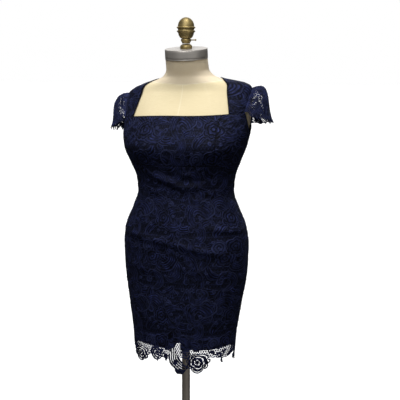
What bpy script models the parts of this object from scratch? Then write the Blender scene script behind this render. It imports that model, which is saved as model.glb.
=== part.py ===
"""Lace cocktail dress on a limbless dress form with its height-adjustable stand.

Metres, +Z up, the front faces -Y, the floor is z = 0 and the pole stands on the Z axis.
Places on the dress are given as an angle round the body (0 at the centre front, 90 at the
wearer's left side seam, 180 at the centre back) and a height.
"""
import math
from collections import namedtuple

import bmesh
import bpy
from mathutils import Vector

# ---------------------------------------------------------------- driving sizes
SEAM_GAP = 0.0003           # between neighbouring pieces
LACE_WALL = 0.0015
LINING_WALL = 0.0010
LINING_DEPTH = 0.0029       # lining's outer face under the lace's outer face
LINING_TOP_ROOM = 0.010     # the lining ends below the seam under the bust
FOLD_FADE = 0.012           # the folds die away towards that seam
SKIRT_COLUMNS = 18          # facets across half of the skirt
SKIRT_ROWS = 14             # facets up the skirt's waist and hips

HEM_Z = 0.560               # lower edge of the lace skirt
LINING_HEM_Z = 0.625
LINING_NOTCH_RISE = 0.026   # the lining parts a little at the front
LINING_NOTCH_ANGLE = 8.0
LINING_NOTCH_SPREAD = 7.0
EMPIRE_Z = 1.163            # seam under the bust
NECKLINE_Z = 1.305          # straight front edge of the square neckline
ARMHOLE_Z = 1.245
SIDE_ANGLE = 90.0
SHOULDER_LIFT = 0.0107      # the wearer's left shoulder stands higher, the right one lower
SHOULDER_REACH = 0.19
LIFT_FOOT_Z = 1.05
LIFT_FULL_Z = 1.30
LIFT_FADE_Z = 1.415         # the neck stays level
LIFT_END_Z = 1.440
BACK_ANGLE = 180.0

FORM_BOTTOM_Z = 0.800
NECK_TURN_Z = 1.409         # the neck starts to tip forward here
NECK_TOP_Z = 1.4655
NECK_CAP_HEIGHT = 0.0290
NECK_CAP_LEAN = math.radians(7.0)
NECK_CAP_RADIUS = 0.0625

BASE_RADIUS = 0.200
BASE_HEIGHT = 0.014
TUBE_RADIUS = 0.0125
TUBE_BORE = 0.0098
TUBE_TOP_Z = 0.575
POLE_RADIUS = 0.0095
POLE_FOOT_Z = 0.230
CLAMP_HEIGHT = 0.032
CLAMP_RADIUS = 0.0185
BOSS_FOOT_Z = 0.757

ZIP_TAPE_HALF_WIDTH = 0.011
ZIP_TAPE_WALL = 0.0008
ZIP_FOOT_Z = 0.985
ZIP_SLIDER_Z = 1.352
ZIP_TOP_ROOM = 0.006        # from the tape's top to the neck's edge
ZIP_DEPTH_CHANGE = 0.020    # the tape moves in under the lining over this height

# ---------------------------------------------------------------- the figure
# One row per level: the outer face of the dress, and how deep the form lies under it.
Section = namedtuple("Section", "z half_width front back centre_y square ease")
SECTIONS = [
    Section(0.560, 0.153, 0.112, 0.120, -0.016, 2.20, 0.010),
    Section(0.640, 0.158, 0.118, 0.128, -0.012, 2.20, 0.010),
    Section(0.740, 0.172, 0.125, 0.138, -0.006, 2.20, 0.010),
    Section(0.840, 0.187, 0.127, 0.144, 0.000, 2.20, 0.010),
    Section(0.920, 0.190, 0.127, 0.143, 0.000, 2.20, 0.007),
    Section(0.980, 0.181, 0.122, 0.129, 0.000, 2.20, 0.007),
    Section(1.030, 0.161, 0.112, 0.107, 0.000, 2.20, 0.008),
    Section(1.080, 0.145, 0.103, 0.094, 0.000, 2.25, 0.008),
    Section(1.125, 0.149, 0.105, 0.096, 0.000, 2.35, 0.007),
    Section(1.163, 0.163, 0.114, 0.102, 0.000, 2.45, 0.006),
    Section(1.215, 0.183, 0.126, 0.109, 0.003, 2.50, 0.0054),
    Section(1.262, 0.192, 0.117, 0.108, 0.010, 2.45, 0.0062),
    Section(1.305, 0.193, 0.104, 0.100, 0.020, 2.35, 0.0050),
    Section(1.340, 0.194, 0.090, 0.086, 0.030, 2.25, 0.0044),
    Section(1.362, 0.192, 0.080, 0.074, 0.034, 2.15, 0.0046),
    Section(1.376, 0.188, 0.073, 0.066, 0.035, 2.05, 0.0048),
    Section(1.388, 0.170, 0.069, 0.060, 0.034, 2.00, 0.0044),
    Section(1.398, 0.138, 0.066, 0.057, 0.032, 2.00, 0.0034),
    Section(1.407, 0.104, 0.063, 0.055, 0.029, 2.00, 0.0026),
    Section(1.418, 0.078, 0.061, 0.056, 0.025, 2.00, 0.0026),
    Section(1.436, 0.066, 0.060, 0.058, 0.016, 2.00, 0.0026),
    Section(1.470, 0.0645, 0.060, 0.060, 0.004, 2.00, 0.0026),
]
BUST_Z = 1.212
BUST_ANGLE = 38.0
BUST_SPREAD = 24.0
BUST_RISE = 0.010
BUST_ABOVE = 0.045
BUST_BELOW = 0.034

# Drag folds, each a soft ridge along a line on the skirt.
Fold = namedtuple("Fold", "angle_from z_from angle_to z_to height width")
FOLDS = [
    Fold(-42.0, 1.140, 10.0, 1.101, 0.0040, 0.013),
    Fold(8.0, 1.101, 42.0, 1.103, 0.0030, 0.012),
    Fold(8.0, 1.139, 27.0, 1.136, 0.0020, 0.009),
    Fold(26.0, 1.068, 46.0, 1.060, 0.0016, 0.010),
    Fold(-78.0, 0.968, 2.0, 0.938, 0.0030, 0.014),
    Fold(2.0, 0.938, 60.0, 0.908, 0.0026, 0.013),
    Fold(86.0, 0.972, 42.0, 0.985, 0.0022, 0.010),
    Fold(112.0, 1.104, 166.0, 1.072, 0.0034, 0.013),
    Fold(-110.0, 1.116, -158.0, 1.086, 0.0030, 0.012),
    Fold(148.0, 1.040, 200.0, 1.046, 0.0024, 0.012),
    Fold(-96.0, 0.962, -150.0, 0.935, 0.0022, 0.013),
]

# Edges of the pieces, as places on the figure.
Edge = namedtuple("Edge", "angle z")
PRINCESS_SEAM = [Edge(50.0, 1.163), Edge(46.0, 1.212), Edge(49.0, 1.260), Edge(56.0, 1.305)]
STRAP_NECK_EDGE = [Edge(62.0, 1.305), Edge(63.0, 1.335), Edge(65.0, 1.362), Edge(69.0, 1.384),
                   Edge(76.0, 1.401), Edge(95.0, 1.410)]
STRAP_ARM_EDGE = [Edge(77.0, 1.305), Edge(79.5, 1.325), Edge(82.5, 1.345), Edge(86.0, 1.359),
                  Edge(90.5, 1.367), Edge(95.0, 1.371)]
BACK_ARM_EDGE = [Edge(90.0, 1.245), Edge(98.0, 1.256), Edge(104.5, 1.280), Edge(107.0, 1.310),
                 Edge(104.0, 1.342), Edge(99.0, 1.362), Edge(95.0, 1.371)]
FRONT_ARMHOLE = [Edge(77.0, 1.305), Edge(80.0, 1.286), Edge(84.5, 1.262), Edge(90.0, 1.245)]
BACK_NECK_Z = 1.378
STRAP_COLUMNS = 4           # facets across a strap and along the shoulder seam
SHOULDER_SEAM_ANGLE = 95.0

SLEEVE_STAND_OFF = 0.0021   # the sleeve's seam lies over the shoulder's
SLEEVE_HEAD_RISE = 0.016    # the sleeve's head stands a little over the shoulder

# Lower edge of the cap sleeve, front to back, on the wearer's left.
SleeveEdge = namedtuple("SleeveEdge", "along x y z")
SLEEVE_EDGE = [
    SleeveEdge(0.00, 0.199, -0.026, 1.293),
    SleeveEdge(0.16, 0.228, -0.032, 1.282),
    SleeveEdge(0.38, 0.248, -0.008, 1.272),
    SleeveEdge(0.58, 0.252, 0.030, 1.268),
    SleeveEdge(0.80, 0.236, 0.076, 1.262),
    SleeveEdge(1.00, 0.200, 0.100, 1.262),
]


# ---------------------------------------------------------------- curves and surfaces
def slopes(xs, ys):
    """Slopes of the monotone cubic through the rows."""
    steps = [(ys[i + 1] - ys[i]) / (xs[i + 1] - xs[i]) for i in range(len(xs) - 1)]
    inner = []
    for before, after in zip(steps, steps[1:]):
        inner.append(2.0 * before * after / (before + after) if before * after > 0.0 else 0.0)
    return [steps[0]] + inner + [steps[-1]]


def curve_through(xs, ys):
    """Smooth function through the rows, flat beyond its ends."""
    tangents = slopes(xs, ys)

    def value(x):
        x = min(max(x, xs[0]), xs[-1])
        i = max(k for k in range(len(xs) - 1) if xs[k] <= x)
        span = xs[i + 1] - xs[i]
        t = (x - xs[i]) / span
        start = (1.0 + 2.0 * t) * (1.0 - t) ** 2 * ys[i] + t * (1.0 - t) ** 2 * span * tangents[i]
        end = t * t * (3.0 - 2.0 * t) * ys[i + 1] + t * t * (t - 1.0) * span * tangents[i + 1]
        return start + end

    return value


LEVELS = [row.z for row in SECTIONS]
HALF_WIDTH = curve_through(LEVELS, [row.half_width for row in SECTIONS])
FRONT = curve_through(LEVELS, [row.front for row in SECTIONS])
BACK = curve_through(LEVELS, [row.back for row in SECTIONS])
CENTRE_Y = curve_through(LEVELS, [row.centre_y for row in SECTIONS])
SQUARE = curve_through(LEVELS, [row.square for row in SECTIONS])
EASE = curve_through(LEVELS, [row.ease for row in SECTIONS])


def bell(distance, spread):
    return math.exp(-(distance / spread) ** 2)


def bust_rise(angle, z):
    lift = bell(z - BUST_Z, BUST_ABOVE if z > BUST_Z else BUST_BELOW)
    lobes = bell(angle - BUST_ANGLE, BUST_SPREAD) + bell(angle + BUST_ANGLE, BUST_SPREAD)
    return BUST_RISE * lift * lobes


def fold_rise(angle, z, fold):
    """Height of one drag fold at a place: a ridge that fades at both ends."""
    turn = (angle - fold.angle_from + 180.0) % 360.0 - 180.0
    per_degree = math.radians(HALF_WIDTH(z))
    along_x = (fold.angle_to - fold.angle_from) * per_degree
    along_z = fold.z_to - fold.z_from
    length = math.hypot(along_x, along_z)
    here_x = turn * per_degree
    here_z = z - fold.z_from
    along = (here_x * along_x + here_z * along_z) / length
    across = (here_x * along_z - here_z * along_x) / length
    middle = along / length * 2.0 - 1.0
    return fold.height * bell(across, fold.width) * math.exp(-abs(middle) ** 4)


def figure_point(angle, z, folded):
    """Point of the outer face of the dress; the form under it has no folds."""
    turned = (angle + 180.0) % 360.0 - 180.0
    side = math.sin(math.radians(turned))
    ahead = math.cos(math.radians(turned))
    power = SQUARE(z)
    depth = FRONT(z) if ahead > 0.0 else BACK(z)
    reach = (abs(side) / HALF_WIDTH(z)) ** power + (abs(ahead) / depth) ** power
    radius = reach ** (-1.0 / power) + bust_rise(turned, z)
    if folded and z < EMPIRE_Z:
        fade = min(1.0, (EMPIRE_Z - z) / FOLD_FADE)
        radius += fade * sum(fold_rise(angle, z, fold) for fold in FOLDS)
    return Vector((radius * side, CENTRE_Y(z) - radius * ahead, z))


def skin(angle, z, depth, folded=True):
    """Point of the figure moved straight in by a depth."""
    step_angle = 0.25
    step_z = 0.0005
    here = figure_point(angle, z, folded)
    round_body = figure_point(angle + step_angle, z, folded) - figure_point(angle - step_angle, z, folded)
    up_body = figure_point(angle, z + step_z, folded) - figure_point(angle, z - step_z, folded)
    outward = round_body.cross(up_body).normalized()
    return here - outward * depth


def along_edge(edge, t):
    """Place at fraction t of an edge's rows, as a smooth curve."""
    spots = [i / (len(edge) - 1) for i in range(len(edge))]
    angle = curve_through(spots, [row.angle for row in edge])(t)
    z = curve_through(spots, [row.z for row in edge])(t)
    return angle, z


def mix(a, b, t):
    return a + (b - a) * t


def gap_angle(z):
    """Half of the seam gap, as an angle at the level's radius."""
    return math.degrees(0.5 * SEAM_GAP / FRONT(z))


# ---------------------------------------------------------------- making objects
def material(name, colour, roughness, metallic=0.0):
    made = bpy.data.materials.new(name)
    made.use_nodes = True
    shader = made.node_tree.nodes["Principled BSDF"]
    shader.inputs["Base Color"].default_value = (*colour, 1.0)
    shader.inputs["Roughness"].default_value = roughness
    shader.inputs["Metallic"].default_value = metallic
    made.diffuse_color = (*colour, 1.0)
    return made


def add_object(name, mesh, surface, smooth_angle=math.radians(40.0)):
    made = bpy.data.objects.new(name, mesh)
    bpy.context.scene.collection.objects.link(made)
    mesh.materials.append(surface)
    mesh.shade_smooth()
    mesh.set_sharp_from_angle(angle=smooth_angle)
    return made


def close_mesh(work, mesh):
    """Write the closed body into its mesh with every face turned outward."""
    bmesh.ops.recalc_face_normals(work, faces=work.faces)
    if work.calc_volume(signed=True) < 0.0:
        bmesh.ops.reverse_faces(work, faces=work.faces)
    work.to_mesh(mesh)
    work.free()


def steps(count, start=0.0, end=1.0):
    """Evenly spaced values, both ends among them."""
    return [mix(start, end, i / count) for i in range(count + 1)]


def wall(name, vs, us, point, surface):
    """Closed sheet between an outer and an inner face; point(u, v, side) gives both."""
    rows = len(vs) - 1
    columns = len(us) - 1
    mesh = bpy.data.meshes.new(name)
    work = bmesh.new()
    faces = []
    for side in (0.0, 1.0):
        faces.append([[work.verts.new(point(u, v, side)) for u in us] for v in vs])
    outer, inner = faces
    for i in range(rows):
        for j in range(columns):
            work.faces.new((outer[i][j], outer[i][j + 1], outer[i + 1][j + 1], outer[i + 1][j]))
            work.faces.new((inner[i][j], inner[i + 1][j], inner[i + 1][j + 1], inner[i][j + 1]))
    rim = [(0, j) for j in range(columns)] + [(i, columns) for i in range(rows)]
    rim += [(rows, j) for j in range(columns, 0, -1)] + [(i, 0) for i in range(rows, 0, -1)]
    for (i, j), (k, m) in zip(rim, rim[1:] + rim[:1]):
        work.faces.new((outer[i][j], inner[i][j], inner[k][m], outer[k][m]))
    close_mesh(work, mesh)
    return add_object(name, mesh, surface)


def body_panel(name, vs, us, place, surface, depth=0.0, thickness=LACE_WALL, folded=True):
    """Panel of cloth; place(u, v) gives its angle and height on the figure."""

    def point(u, v, side):
        angle, z = place(u, v)
        return skin(angle, z, depth + side * thickness, folded)

    return wall(name, vs, us, point, surface)


def lathe(name, profile, segments, surface, centre=(0.0, 0.0, 0.0), lean=0.0):
    """Solid turned round its own vertical axis from (radius, height) rows, bottom to top."""
    mesh = bpy.data.meshes.new(name)
    work = bmesh.new()
    rings = []
    for radius, height in profile:
        if radius == 0.0:
            rings.append([work.verts.new((0.0, 0.0, height))])
            continue
        turns = [2.0 * math.pi * k / segments for k in range(segments)]
        rings.append([work.verts.new((radius * math.cos(t), radius * math.sin(t), height)) for t in turns])
    for low, high in zip(rings, rings[1:]):
        for k in range(segments):
            following = (k + 1) % segments
            corners = [low[k % len(low)], low[following % len(low)]]
            corners += [high[following % len(high)], high[k % len(high)]]
            work.faces.new(list(dict.fromkeys(corners)))
    for ring in (rings[0], rings[-1]):
        if len(ring) > 1 and profile[0] != profile[-1]:
            work.faces.new(ring)
    if profile[0] == profile[-1]:
        bmesh.ops.remove_doubles(work, verts=work.verts, dist=0.000001)
    close_mesh(work, mesh)
    made = add_object(name, mesh, surface)
    made.location = centre
    made.rotation_euler = (lean, 0.0, 0.0)
    return made


def box(name, size, centre, surface, bevel, tilt=0.0):
    mesh = bpy.data.meshes.new(name)
    work = bmesh.new()
    bmesh.ops.create_cube(work, size=1.0)
    bmesh.ops.scale(work, vec=size, verts=work.verts)
    bmesh.ops.bevel(work, geom=work.edges[:], offset=bevel, segments=2, affect="EDGES", profile=0.5)
    work.to_mesh(mesh)
    work.free()
    made = add_object(name, mesh, surface)
    made.location = centre
    made.rotation_euler = (tilt, 0.0, 0.0)
    return made


# ---------------------------------------------------------------- bodice
def princess_angle(z):
    levels = [row.z for row in PRINCESS_SEAM]
    return curve_through(levels, [row.angle for row in PRINCESS_SEAM])(z)


def front_armhole_z(angle):
    """Top edge of the side front: along the neckline, then down round the armhole."""
    angles = [row.angle for row in FRONT_ARMHOLE]
    return curve_through(angles, [row.z for row in FRONT_ARMHOLE])(angle)


def bodice_front(surface):
    foot = EMPIRE_Z + SEAM_GAP
    top = NECKLINE_Z

    def place(u, v):
        z = mix(foot, top, v)
        half = princess_angle(z) - gap_angle(z)
        return mix(-half, half, u), z

    body_panel("bodice_front", steps(8), steps(12), place, surface)


def bodice_side_fronts(surface):
    foot = EMPIRE_Z + SEAM_GAP
    strap_columns = 0.50    # share of the columns under the straight top edge
    for side, name in ((1.0, "bodice_side_front_left"), (-1.0, "bodice_side_front_right")):

        def place(u, v, side=side):
            low = princess_angle(mix(foot, NECKLINE_Z, v)) + gap_angle(foot)
            corner = FRONT_ARMHOLE[0].angle
            end = SIDE_ANGLE - gap_angle(foot)
            if u < strap_columns:
                angle = mix(low, corner, u / strap_columns)
            else:
                angle = mix(corner, end, (u - strap_columns) / (1.0 - strap_columns))
            return side * angle, mix(foot, front_armhole_z(angle), v)

        body_panel(name, steps(8), steps(6), place, surface)


def bodice_backs(surface):
    """Back bodice, from the seam under the bust up to the shoulder seam and the back neck."""
    foot = EMPIRE_Z + SEAM_GAP
    below = 0.36            # share of the rows along the side seam
    arm = 0.86              # the armhole ends here and the shoulder seam starts
    neck_z = STRAP_NECK_EDGE[-1].z
    vs = steps(3, 0.0, below)[:-1] + steps(7, below, arm)[:-1] + steps(STRAP_COLUMNS, arm, 1.0)
    for side, name in ((1.0, "bodice_back_left"), (-1.0, "bodice_back_right")):

        def place(u, v, side=side):
            if v < below:
                angle = SIDE_ANGLE
                z = mix(foot, ARMHOLE_Z, v / below)
            elif v < arm:
                angle, z = along_edge(BACK_ARM_EDGE, (v - below) / (arm - below))
            else:
                angle = SHOULDER_SEAM_ANGLE
                z = mix(BACK_ARM_EDGE[-1].z, neck_z, (v - arm) / (1.0 - arm))
            centre_z = mix(foot, BACK_NECK_Z, v)
            from_side = angle + gap_angle(z)
            return side * mix(from_side, BACK_ANGLE - gap_angle(z), u), mix(z, centre_z, u ** 0.8)

        body_panel(name, vs, steps(9), place, surface)


def shoulder_straps(surface):
    """Wide straps from the neckline's corners over the shoulders to the shoulder seams."""
    for side, name in ((1.0, "shoulder_strap_left"), (-1.0, "shoulder_strap_right")):

        def place(u, v, side=side):
            neck_angle, neck_z = along_edge(STRAP_NECK_EDGE, v)
            arm_angle, arm_z = along_edge(STRAP_ARM_EDGE, v)
            angle = mix(neck_angle, arm_angle, u)
            z = mix(neck_z, arm_z, u)
            angle = min(angle, SHOULDER_SEAM_ANGLE - gap_angle(z))
            return side * angle, max(z, NECKLINE_Z + 2.0 * SEAM_GAP)

        body_panel(name, steps(10), steps(STRAP_COLUMNS), place, surface)


# ---------------------------------------------------------------- cap sleeves
def armhole_seam(s):
    """Place on the seam from the strap's front corner (0) over the shoulder to the back (1)."""
    over = 0.55
    if s < over:
        return along_edge(STRAP_ARM_EDGE, s / over)
    last = 0.26
    return along_edge(BACK_ARM_EDGE, mix(1.0, last, (s - over) / (1.0 - over)))


def sleeve_point(s, t):
    """Middle face of the left cap sleeve: s round the armhole, t from the seam to its edge.

    It goes out from the shoulder, drops and flares at its edge, as a Bezier curve.
    """
    angle, z = armhole_seam(s)
    seam = skin(angle, z, 0.5 * LACE_WALL - SLEEVE_STAND_OFF)
    spots = [row.along for row in SLEEVE_EDGE]
    edge = Vector([curve_through(spots, [getattr(row, axis) for row in SLEEVE_EDGE])(s) for axis in "xyz"])
    reach = edge - seam
    head = SLEEVE_HEAD_RISE * math.sin(math.pi * s)
    out_handle = seam + Vector((0.80 * abs(reach.x), 0.25 * reach.y, head))
    low_handle = edge + Vector((-0.50 * abs(reach.x), -0.10 * reach.y, -0.48 * reach.z))
    a = seam.lerp(out_handle, t)
    b = out_handle.lerp(low_handle, t)
    c = low_handle.lerp(edge, t)
    return a.lerp(b, t).lerp(b.lerp(c, t), t)


def cap_sleeves(surface):
    step = 0.002
    for side, name in ((1.0, "cap_sleeve_left"), (-1.0, "cap_sleeve_right")):

        def point(u, v, face, side=side):
            s = min(max(u, step), 1.0 - step)
            t = min(max(v, step), 1.0 - step)
            around = sleeve_point(s + step, t) - sleeve_point(s - step, t)
            across = sleeve_point(s, t + step) - sleeve_point(s, t - step)
            outward = across.cross(around).normalized()
            made = sleeve_point(u, v) + outward * LACE_WALL * (0.5 - face)
            return Vector((side * made.x, made.y, made.z))

        wall(name, steps(6), steps(12), point, surface)


# ---------------------------------------------------------------- skirt and lining
def skirt_levels(rows):
    """Levels from the lining's hem up; the upper ones, over waist and hips, lie closer."""
    return [LINING_HEM_Z, 0.665, 0.725, 0.785] + steps(rows, 0.842, EMPIRE_Z - SEAM_GAP)


def skirt_panels(surface):
    half = SKIRT_COLUMNS // 2
    spans = [("skirt_front", -SIDE_ANGLE, SIDE_ANGLE, SKIRT_COLUMNS),
             ("skirt_back_left", SIDE_ANGLE, BACK_ANGLE, half),
             ("skirt_back_right", BACK_ANGLE, 2.0 * BACK_ANGLE - SIDE_ANGLE, half)]
    levels = [HEM_Z] + skirt_levels(SKIRT_ROWS)
    for name, start, end, columns in spans:

        def place(u, z, start=start, end=end):
            return mix(start + gap_angle(z), end - gap_angle(z), u), z

        body_panel(name, levels, steps(columns), place, surface)


def skirt_lining(surface):
    """Plain lining inside the skirt, shorter than the lace; its front edge parts a little."""
    levels = skirt_levels(SKIRT_ROWS)[:-1] + [EMPIRE_Z - LINING_TOP_ROOM]
    spans = [("skirt_lining_front", -SIDE_ANGLE, SIDE_ANGLE),
             ("skirt_lining_back", SIDE_ANGLE, 3.0 * SIDE_ANGLE)]
    for name, start, end in spans:

        def place(u, z, start=start, end=end):
            angle = mix(start + gap_angle(z), end - gap_angle(z), u)
            notch = max(0.0, 1.0 - abs(angle - LINING_NOTCH_ANGLE) / LINING_NOTCH_SPREAD)
            if z == LINING_HEM_Z:
                z += LINING_NOTCH_RISE * notch
            return angle, z

        body_panel(name, levels, steps(SKIRT_COLUMNS), place, surface, LINING_DEPTH, LINING_WALL, False)


# ---------------------------------------------------------------- back zip
def back_zip(tape_surface, metal):
    inside = LACE_WALL + 2.5 * SEAM_GAP

    def place(u, v):
        z = mix(ZIP_FOOT_Z, BACK_NECK_Z - ZIP_TOP_ROOM, v)
        half = math.degrees(ZIP_TAPE_HALF_WIDTH / BACK(z))
        return BACK_ANGLE + mix(-half, half, u), z

    depth_in_skirt = LINING_DEPTH + LINING_WALL + 4.0 * SEAM_GAP

    def point(u, v, side):
        angle, z = place(u, v)
        into = mix(depth_in_skirt, inside, min(1.0, max(0.0, (z - EMPIRE_Z) / ZIP_DEPTH_CHANGE)))
        return skin(angle, z, into + side * ZIP_TAPE_WALL, False)

    wall("zip_tape", steps(20), steps(2), point, tape_surface)

    here = figure_point(BACK_ANGLE, ZIP_SLIDER_Z, False)
    above = figure_point(BACK_ANGLE, ZIP_SLIDER_Z + 0.004, False)
    lean = math.atan2(here.y - above.y, above.z - here.z)
    outward = Vector((0.0, math.cos(lean), math.sin(lean)))
    slider_size = Vector((0.0050, 0.0022, 0.0090))
    body_centre = here + outward * (0.0006 + 0.5 * slider_size.y)
    box("zip_slider", slider_size, body_centre, metal, 0.0005, lean)

    pin = body_centre + outward * (0.5 * slider_size.y + 0.00115)
    tab_size = Vector((0.0036, 0.0010, 0.0200))
    tab = box("zip_pull", tab_size, (0.0, 0.0, 0.0), metal, 0.0003)
    for vertex in tab.data.vertices:
        vertex.co.z -= 0.5 * tab_size.z - 0.0006
    tab.location = pin
    tab.rotation_euler = (lean, 0.0, 0.0)


# ---------------------------------------------------------------- dress form
def form_torso(surface):
    rounding = [(0.0, 0.016), (0.004, 0.007), (0.012, 0.001)]
    bottom = [(FORM_BOTTOM_Z + rise, inset) for rise, inset in rounding]
    levels = list(bottom)
    levels += [(z, 0.0) for z in (0.860, 0.920, 0.970, 1.015, 1.055, 1.095, 1.135, 1.170, 1.200)]
    levels += [(z, 0.0) for z in (1.230, 1.246, 1.262, 1.280, 1.300, 1.335, 1.355, 1.366, 1.376, 1.386, 1.395)]
    levels += [(z, 0.0) for z in (1.403, 1.412, 1.425, 1.442, NECK_TOP_Z)]
    columns = 36
    mesh = bpy.data.meshes.new("form_torso")
    work = bmesh.new()
    rings = []
    for z, inset in levels:
        ring = [skin(360.0 * k / columns, z, EASE(z) + inset, False) for k in range(columns)]
        lean = math.tan(NECK_CAP_LEAN) * min(1.0, max(0.0, (z - NECK_TURN_Z) / (NECK_TOP_Z - NECK_TURN_Z)))
        for spot in ring:
            if (z, inset) in bottom or z == NECK_TOP_Z:
                spot.z = z
            spot.z += lean * (spot.y - CENTRE_Y(z))
        rings.append([work.verts.new(spot) for spot in ring])
    for low, high in zip(rings, rings[1:]):
        for k in range(columns):
            following = (k + 1) % columns
            work.faces.new((low[k], low[following], high[following], high[k]))
    work.faces.new(rings[0])
    work.faces.new(rings[-1])
    close_mesh(work, mesh)
    add_object("form_torso", mesh, surface)


def arm_plates(surface):
    """Oval plates that close the form where its arms would start."""
    centre = Vector((0.026, 1.304))
    half_y = 0.030
    half_z = 0.040
    rings = 3
    around = 20
    for side, name in ((1.0, "arm_plate_left"), (-1.0, "arm_plate_right")):
        mesh = bpy.data.meshes.new(name)
        work = bmesh.new()

        def spot(share, turn, lift, side=side):
            y = centre.x + share * half_y * math.cos(turn)
            z = centre.y + share * half_z * math.sin(turn)
            angle = SIDE_ANGLE
            for _ in range(12):
                here = skin(angle, z, EASE(z) - lift, False)
                angle += math.degrees((y - here.y) / HALF_WIDTH(z))
            here = skin(angle, z, EASE(z) - lift, False)
            return work.verts.new((side * here.x, here.y, here.z))

        shells = []
        for lift in (0.0008, 0.0022):
            middle = spot(0.0, 0.0, lift)
            shell = [[spot(r / rings, 2.0 * math.pi * k / around, lift) for k in range(around)]
                     for r in range(1, rings + 1)]
            for k in range(around):
                following = (k + 1) % around
                work.faces.new((middle, shell[0][k], shell[0][following]))
                for inner, outer in zip(shell, shell[1:]):
                    work.faces.new((inner[k], outer[k], outer[following], inner[following]))
            shells.append(shell[-1])
        for k in range(around):
            following = (k + 1) % around
            work.faces.new((shells[0][k], shells[0][following], shells[1][following], shells[1][k]))
        close_mesh(work, mesh)
        add_object(name, mesh, surface)


def neck_cap_and_finial(aluminium, brass):
    """Metal neck cap, tipped forward a little, with the turned finial that lifts the form."""
    centre_y = CENTRE_Y(NECK_TOP_Z)
    up = Vector((0.0, -math.sin(NECK_CAP_LEAN), math.cos(NECK_CAP_LEAN)))
    seat = Vector((0.0, centre_y, NECK_TOP_Z)) + up * SEAM_GAP
    rim = 0.0016
    cap = [(NECK_CAP_RADIUS, 0.0), (NECK_CAP_RADIUS, NECK_CAP_HEIGHT - rim),
           (NECK_CAP_RADIUS - rim, NECK_CAP_HEIGHT)]
    lathe("neck_cap", cap, 36, aluminium, seat, NECK_CAP_LEAN)

    foot_seat = seat + up * (NECK_CAP_HEIGHT + SEAM_GAP)
    foot = [(0.0170, 0.000), (0.0180, 0.003), (0.0172, 0.008), (0.0122, 0.012)]
    lathe("finial_foot", foot, 20, brass, foot_seat, NECK_CAP_LEAN)

    stem_z = foot_seat.z + 0.0120 + 0.0118 * math.tan(NECK_CAP_LEAN) + SEAM_GAP
    axis = (0.0, foot_seat.y - 0.0014, stem_z)
    stem = [(0.0118, 0.000), (0.0118, 0.0035), (0.0150, 0.0065), (0.0152, 0.0132), (0.0120, 0.0136)]
    lathe("finial_stem", stem, 20, brass, axis)
    bowl = [(0.0120, 0.0139), (0.0172, 0.0160), (0.0215, 0.0235), (0.0232, 0.0310), (0.0258, 0.0330),
            (0.0272, 0.0350), (0.0258, 0.0370), (0.0236, 0.0385), (0.0236, 0.0420), (0.0262, 0.0435),
            (0.0276, 0.0455), (0.0262, 0.0475), (0.0240, 0.0485)]
    lathe("finial_bowl", bowl, 20, brass, axis)
    dome_radius = 0.0238
    dome_foot = 0.0488
    dome_height = 0.0262
    rings = 5
    dome = [(dome_radius * math.cos(0.5 * math.pi * k / rings),
             dome_foot + dome_height * math.sin(0.5 * math.pi * k / rings)) for k in range(rings)]
    dome.append((0.0, dome_foot + dome_height))
    lathe("finial_dome", dome, 20, brass, axis)

    pin = lathe("finial_pin", [(0.0016, 0.0), (0.0016, 0.011), (0.0026, 0.0116), (0.0026, 0.0146),
                               (0.0016, 0.0152)], 10, brass)
    pin.rotation_euler = (0.0, math.radians(90.0), 0.0)
    pin.location = (0.0152 + SEAM_GAP, axis[1], stem_z + 0.0100)


# ---------------------------------------------------------------- stand
def stand(steel, dark, tube_metal):
    plate = [(BASE_RADIUS, 0.0), (BASE_RADIUS, BASE_HEIGHT - 0.004), (BASE_RADIUS - 0.002, BASE_HEIGHT - 0.001),
             (BASE_RADIUS - 0.006, BASE_HEIGHT), (0.030, BASE_HEIGHT + 0.003), (0.0, BASE_HEIGHT + 0.003)]
    lathe("stand_base", plate, 48, steel)

    socket_foot = BASE_HEIGHT + 0.003 + SEAM_GAP
    socket_bore = TUBE_RADIUS + SEAM_GAP
    socket = [(socket_bore, socket_foot), (0.0280, socket_foot), (0.0270, socket_foot + 0.006),
              (0.0190, socket_foot + 0.016), (0.0180, socket_foot + 0.034),
              (socket_bore, socket_foot + 0.034), (socket_bore, socket_foot)]
    lathe("stand_socket", socket, 24, dark)

    tube = [(TUBE_BORE, socket_foot), (TUBE_RADIUS, socket_foot), (TUBE_RADIUS, TUBE_TOP_Z),
            (TUBE_BORE, TUBE_TOP_Z), (TUBE_BORE, socket_foot)]
    lathe("stand_tube", tube, 24, tube_metal)

    foot = TUBE_TOP_Z + SEAM_GAP
    edge = 0.006
    clamp = [(TUBE_BORE, foot), (CLAMP_RADIUS - edge, foot), (CLAMP_RADIUS, foot + edge),
             (CLAMP_RADIUS, foot + CLAMP_HEIGHT - 2.0 * edge), (CLAMP_RADIUS - edge, foot + CLAMP_HEIGHT),
             (TUBE_BORE, foot + CLAMP_HEIGHT), (TUBE_BORE, foot)]
    lathe("height_clamp", clamp, 24, dark)

    knob_profile = [(0.0030, 0.0), (0.0030, 0.010), (0.0095, 0.0105), (0.0105, 0.013), (0.0105, 0.020),
                    (0.0090, 0.0225), (0.0, 0.0230)]
    knob = lathe("clamp_knob", knob_profile, 14, dark)
    knob.rotation_euler = (math.radians(-90.0), 0.0, 0.0)
    knob.location = (0.0, CLAMP_RADIUS + SEAM_GAP, foot + 0.45 * CLAMP_HEIGHT)

    pole_top = FORM_BOTTOM_Z - 2.0 * SEAM_GAP
    lathe("stand_pole", [(POLE_RADIUS, POLE_FOOT_Z), (POLE_RADIUS, pole_top)], 24, tube_metal)


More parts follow.
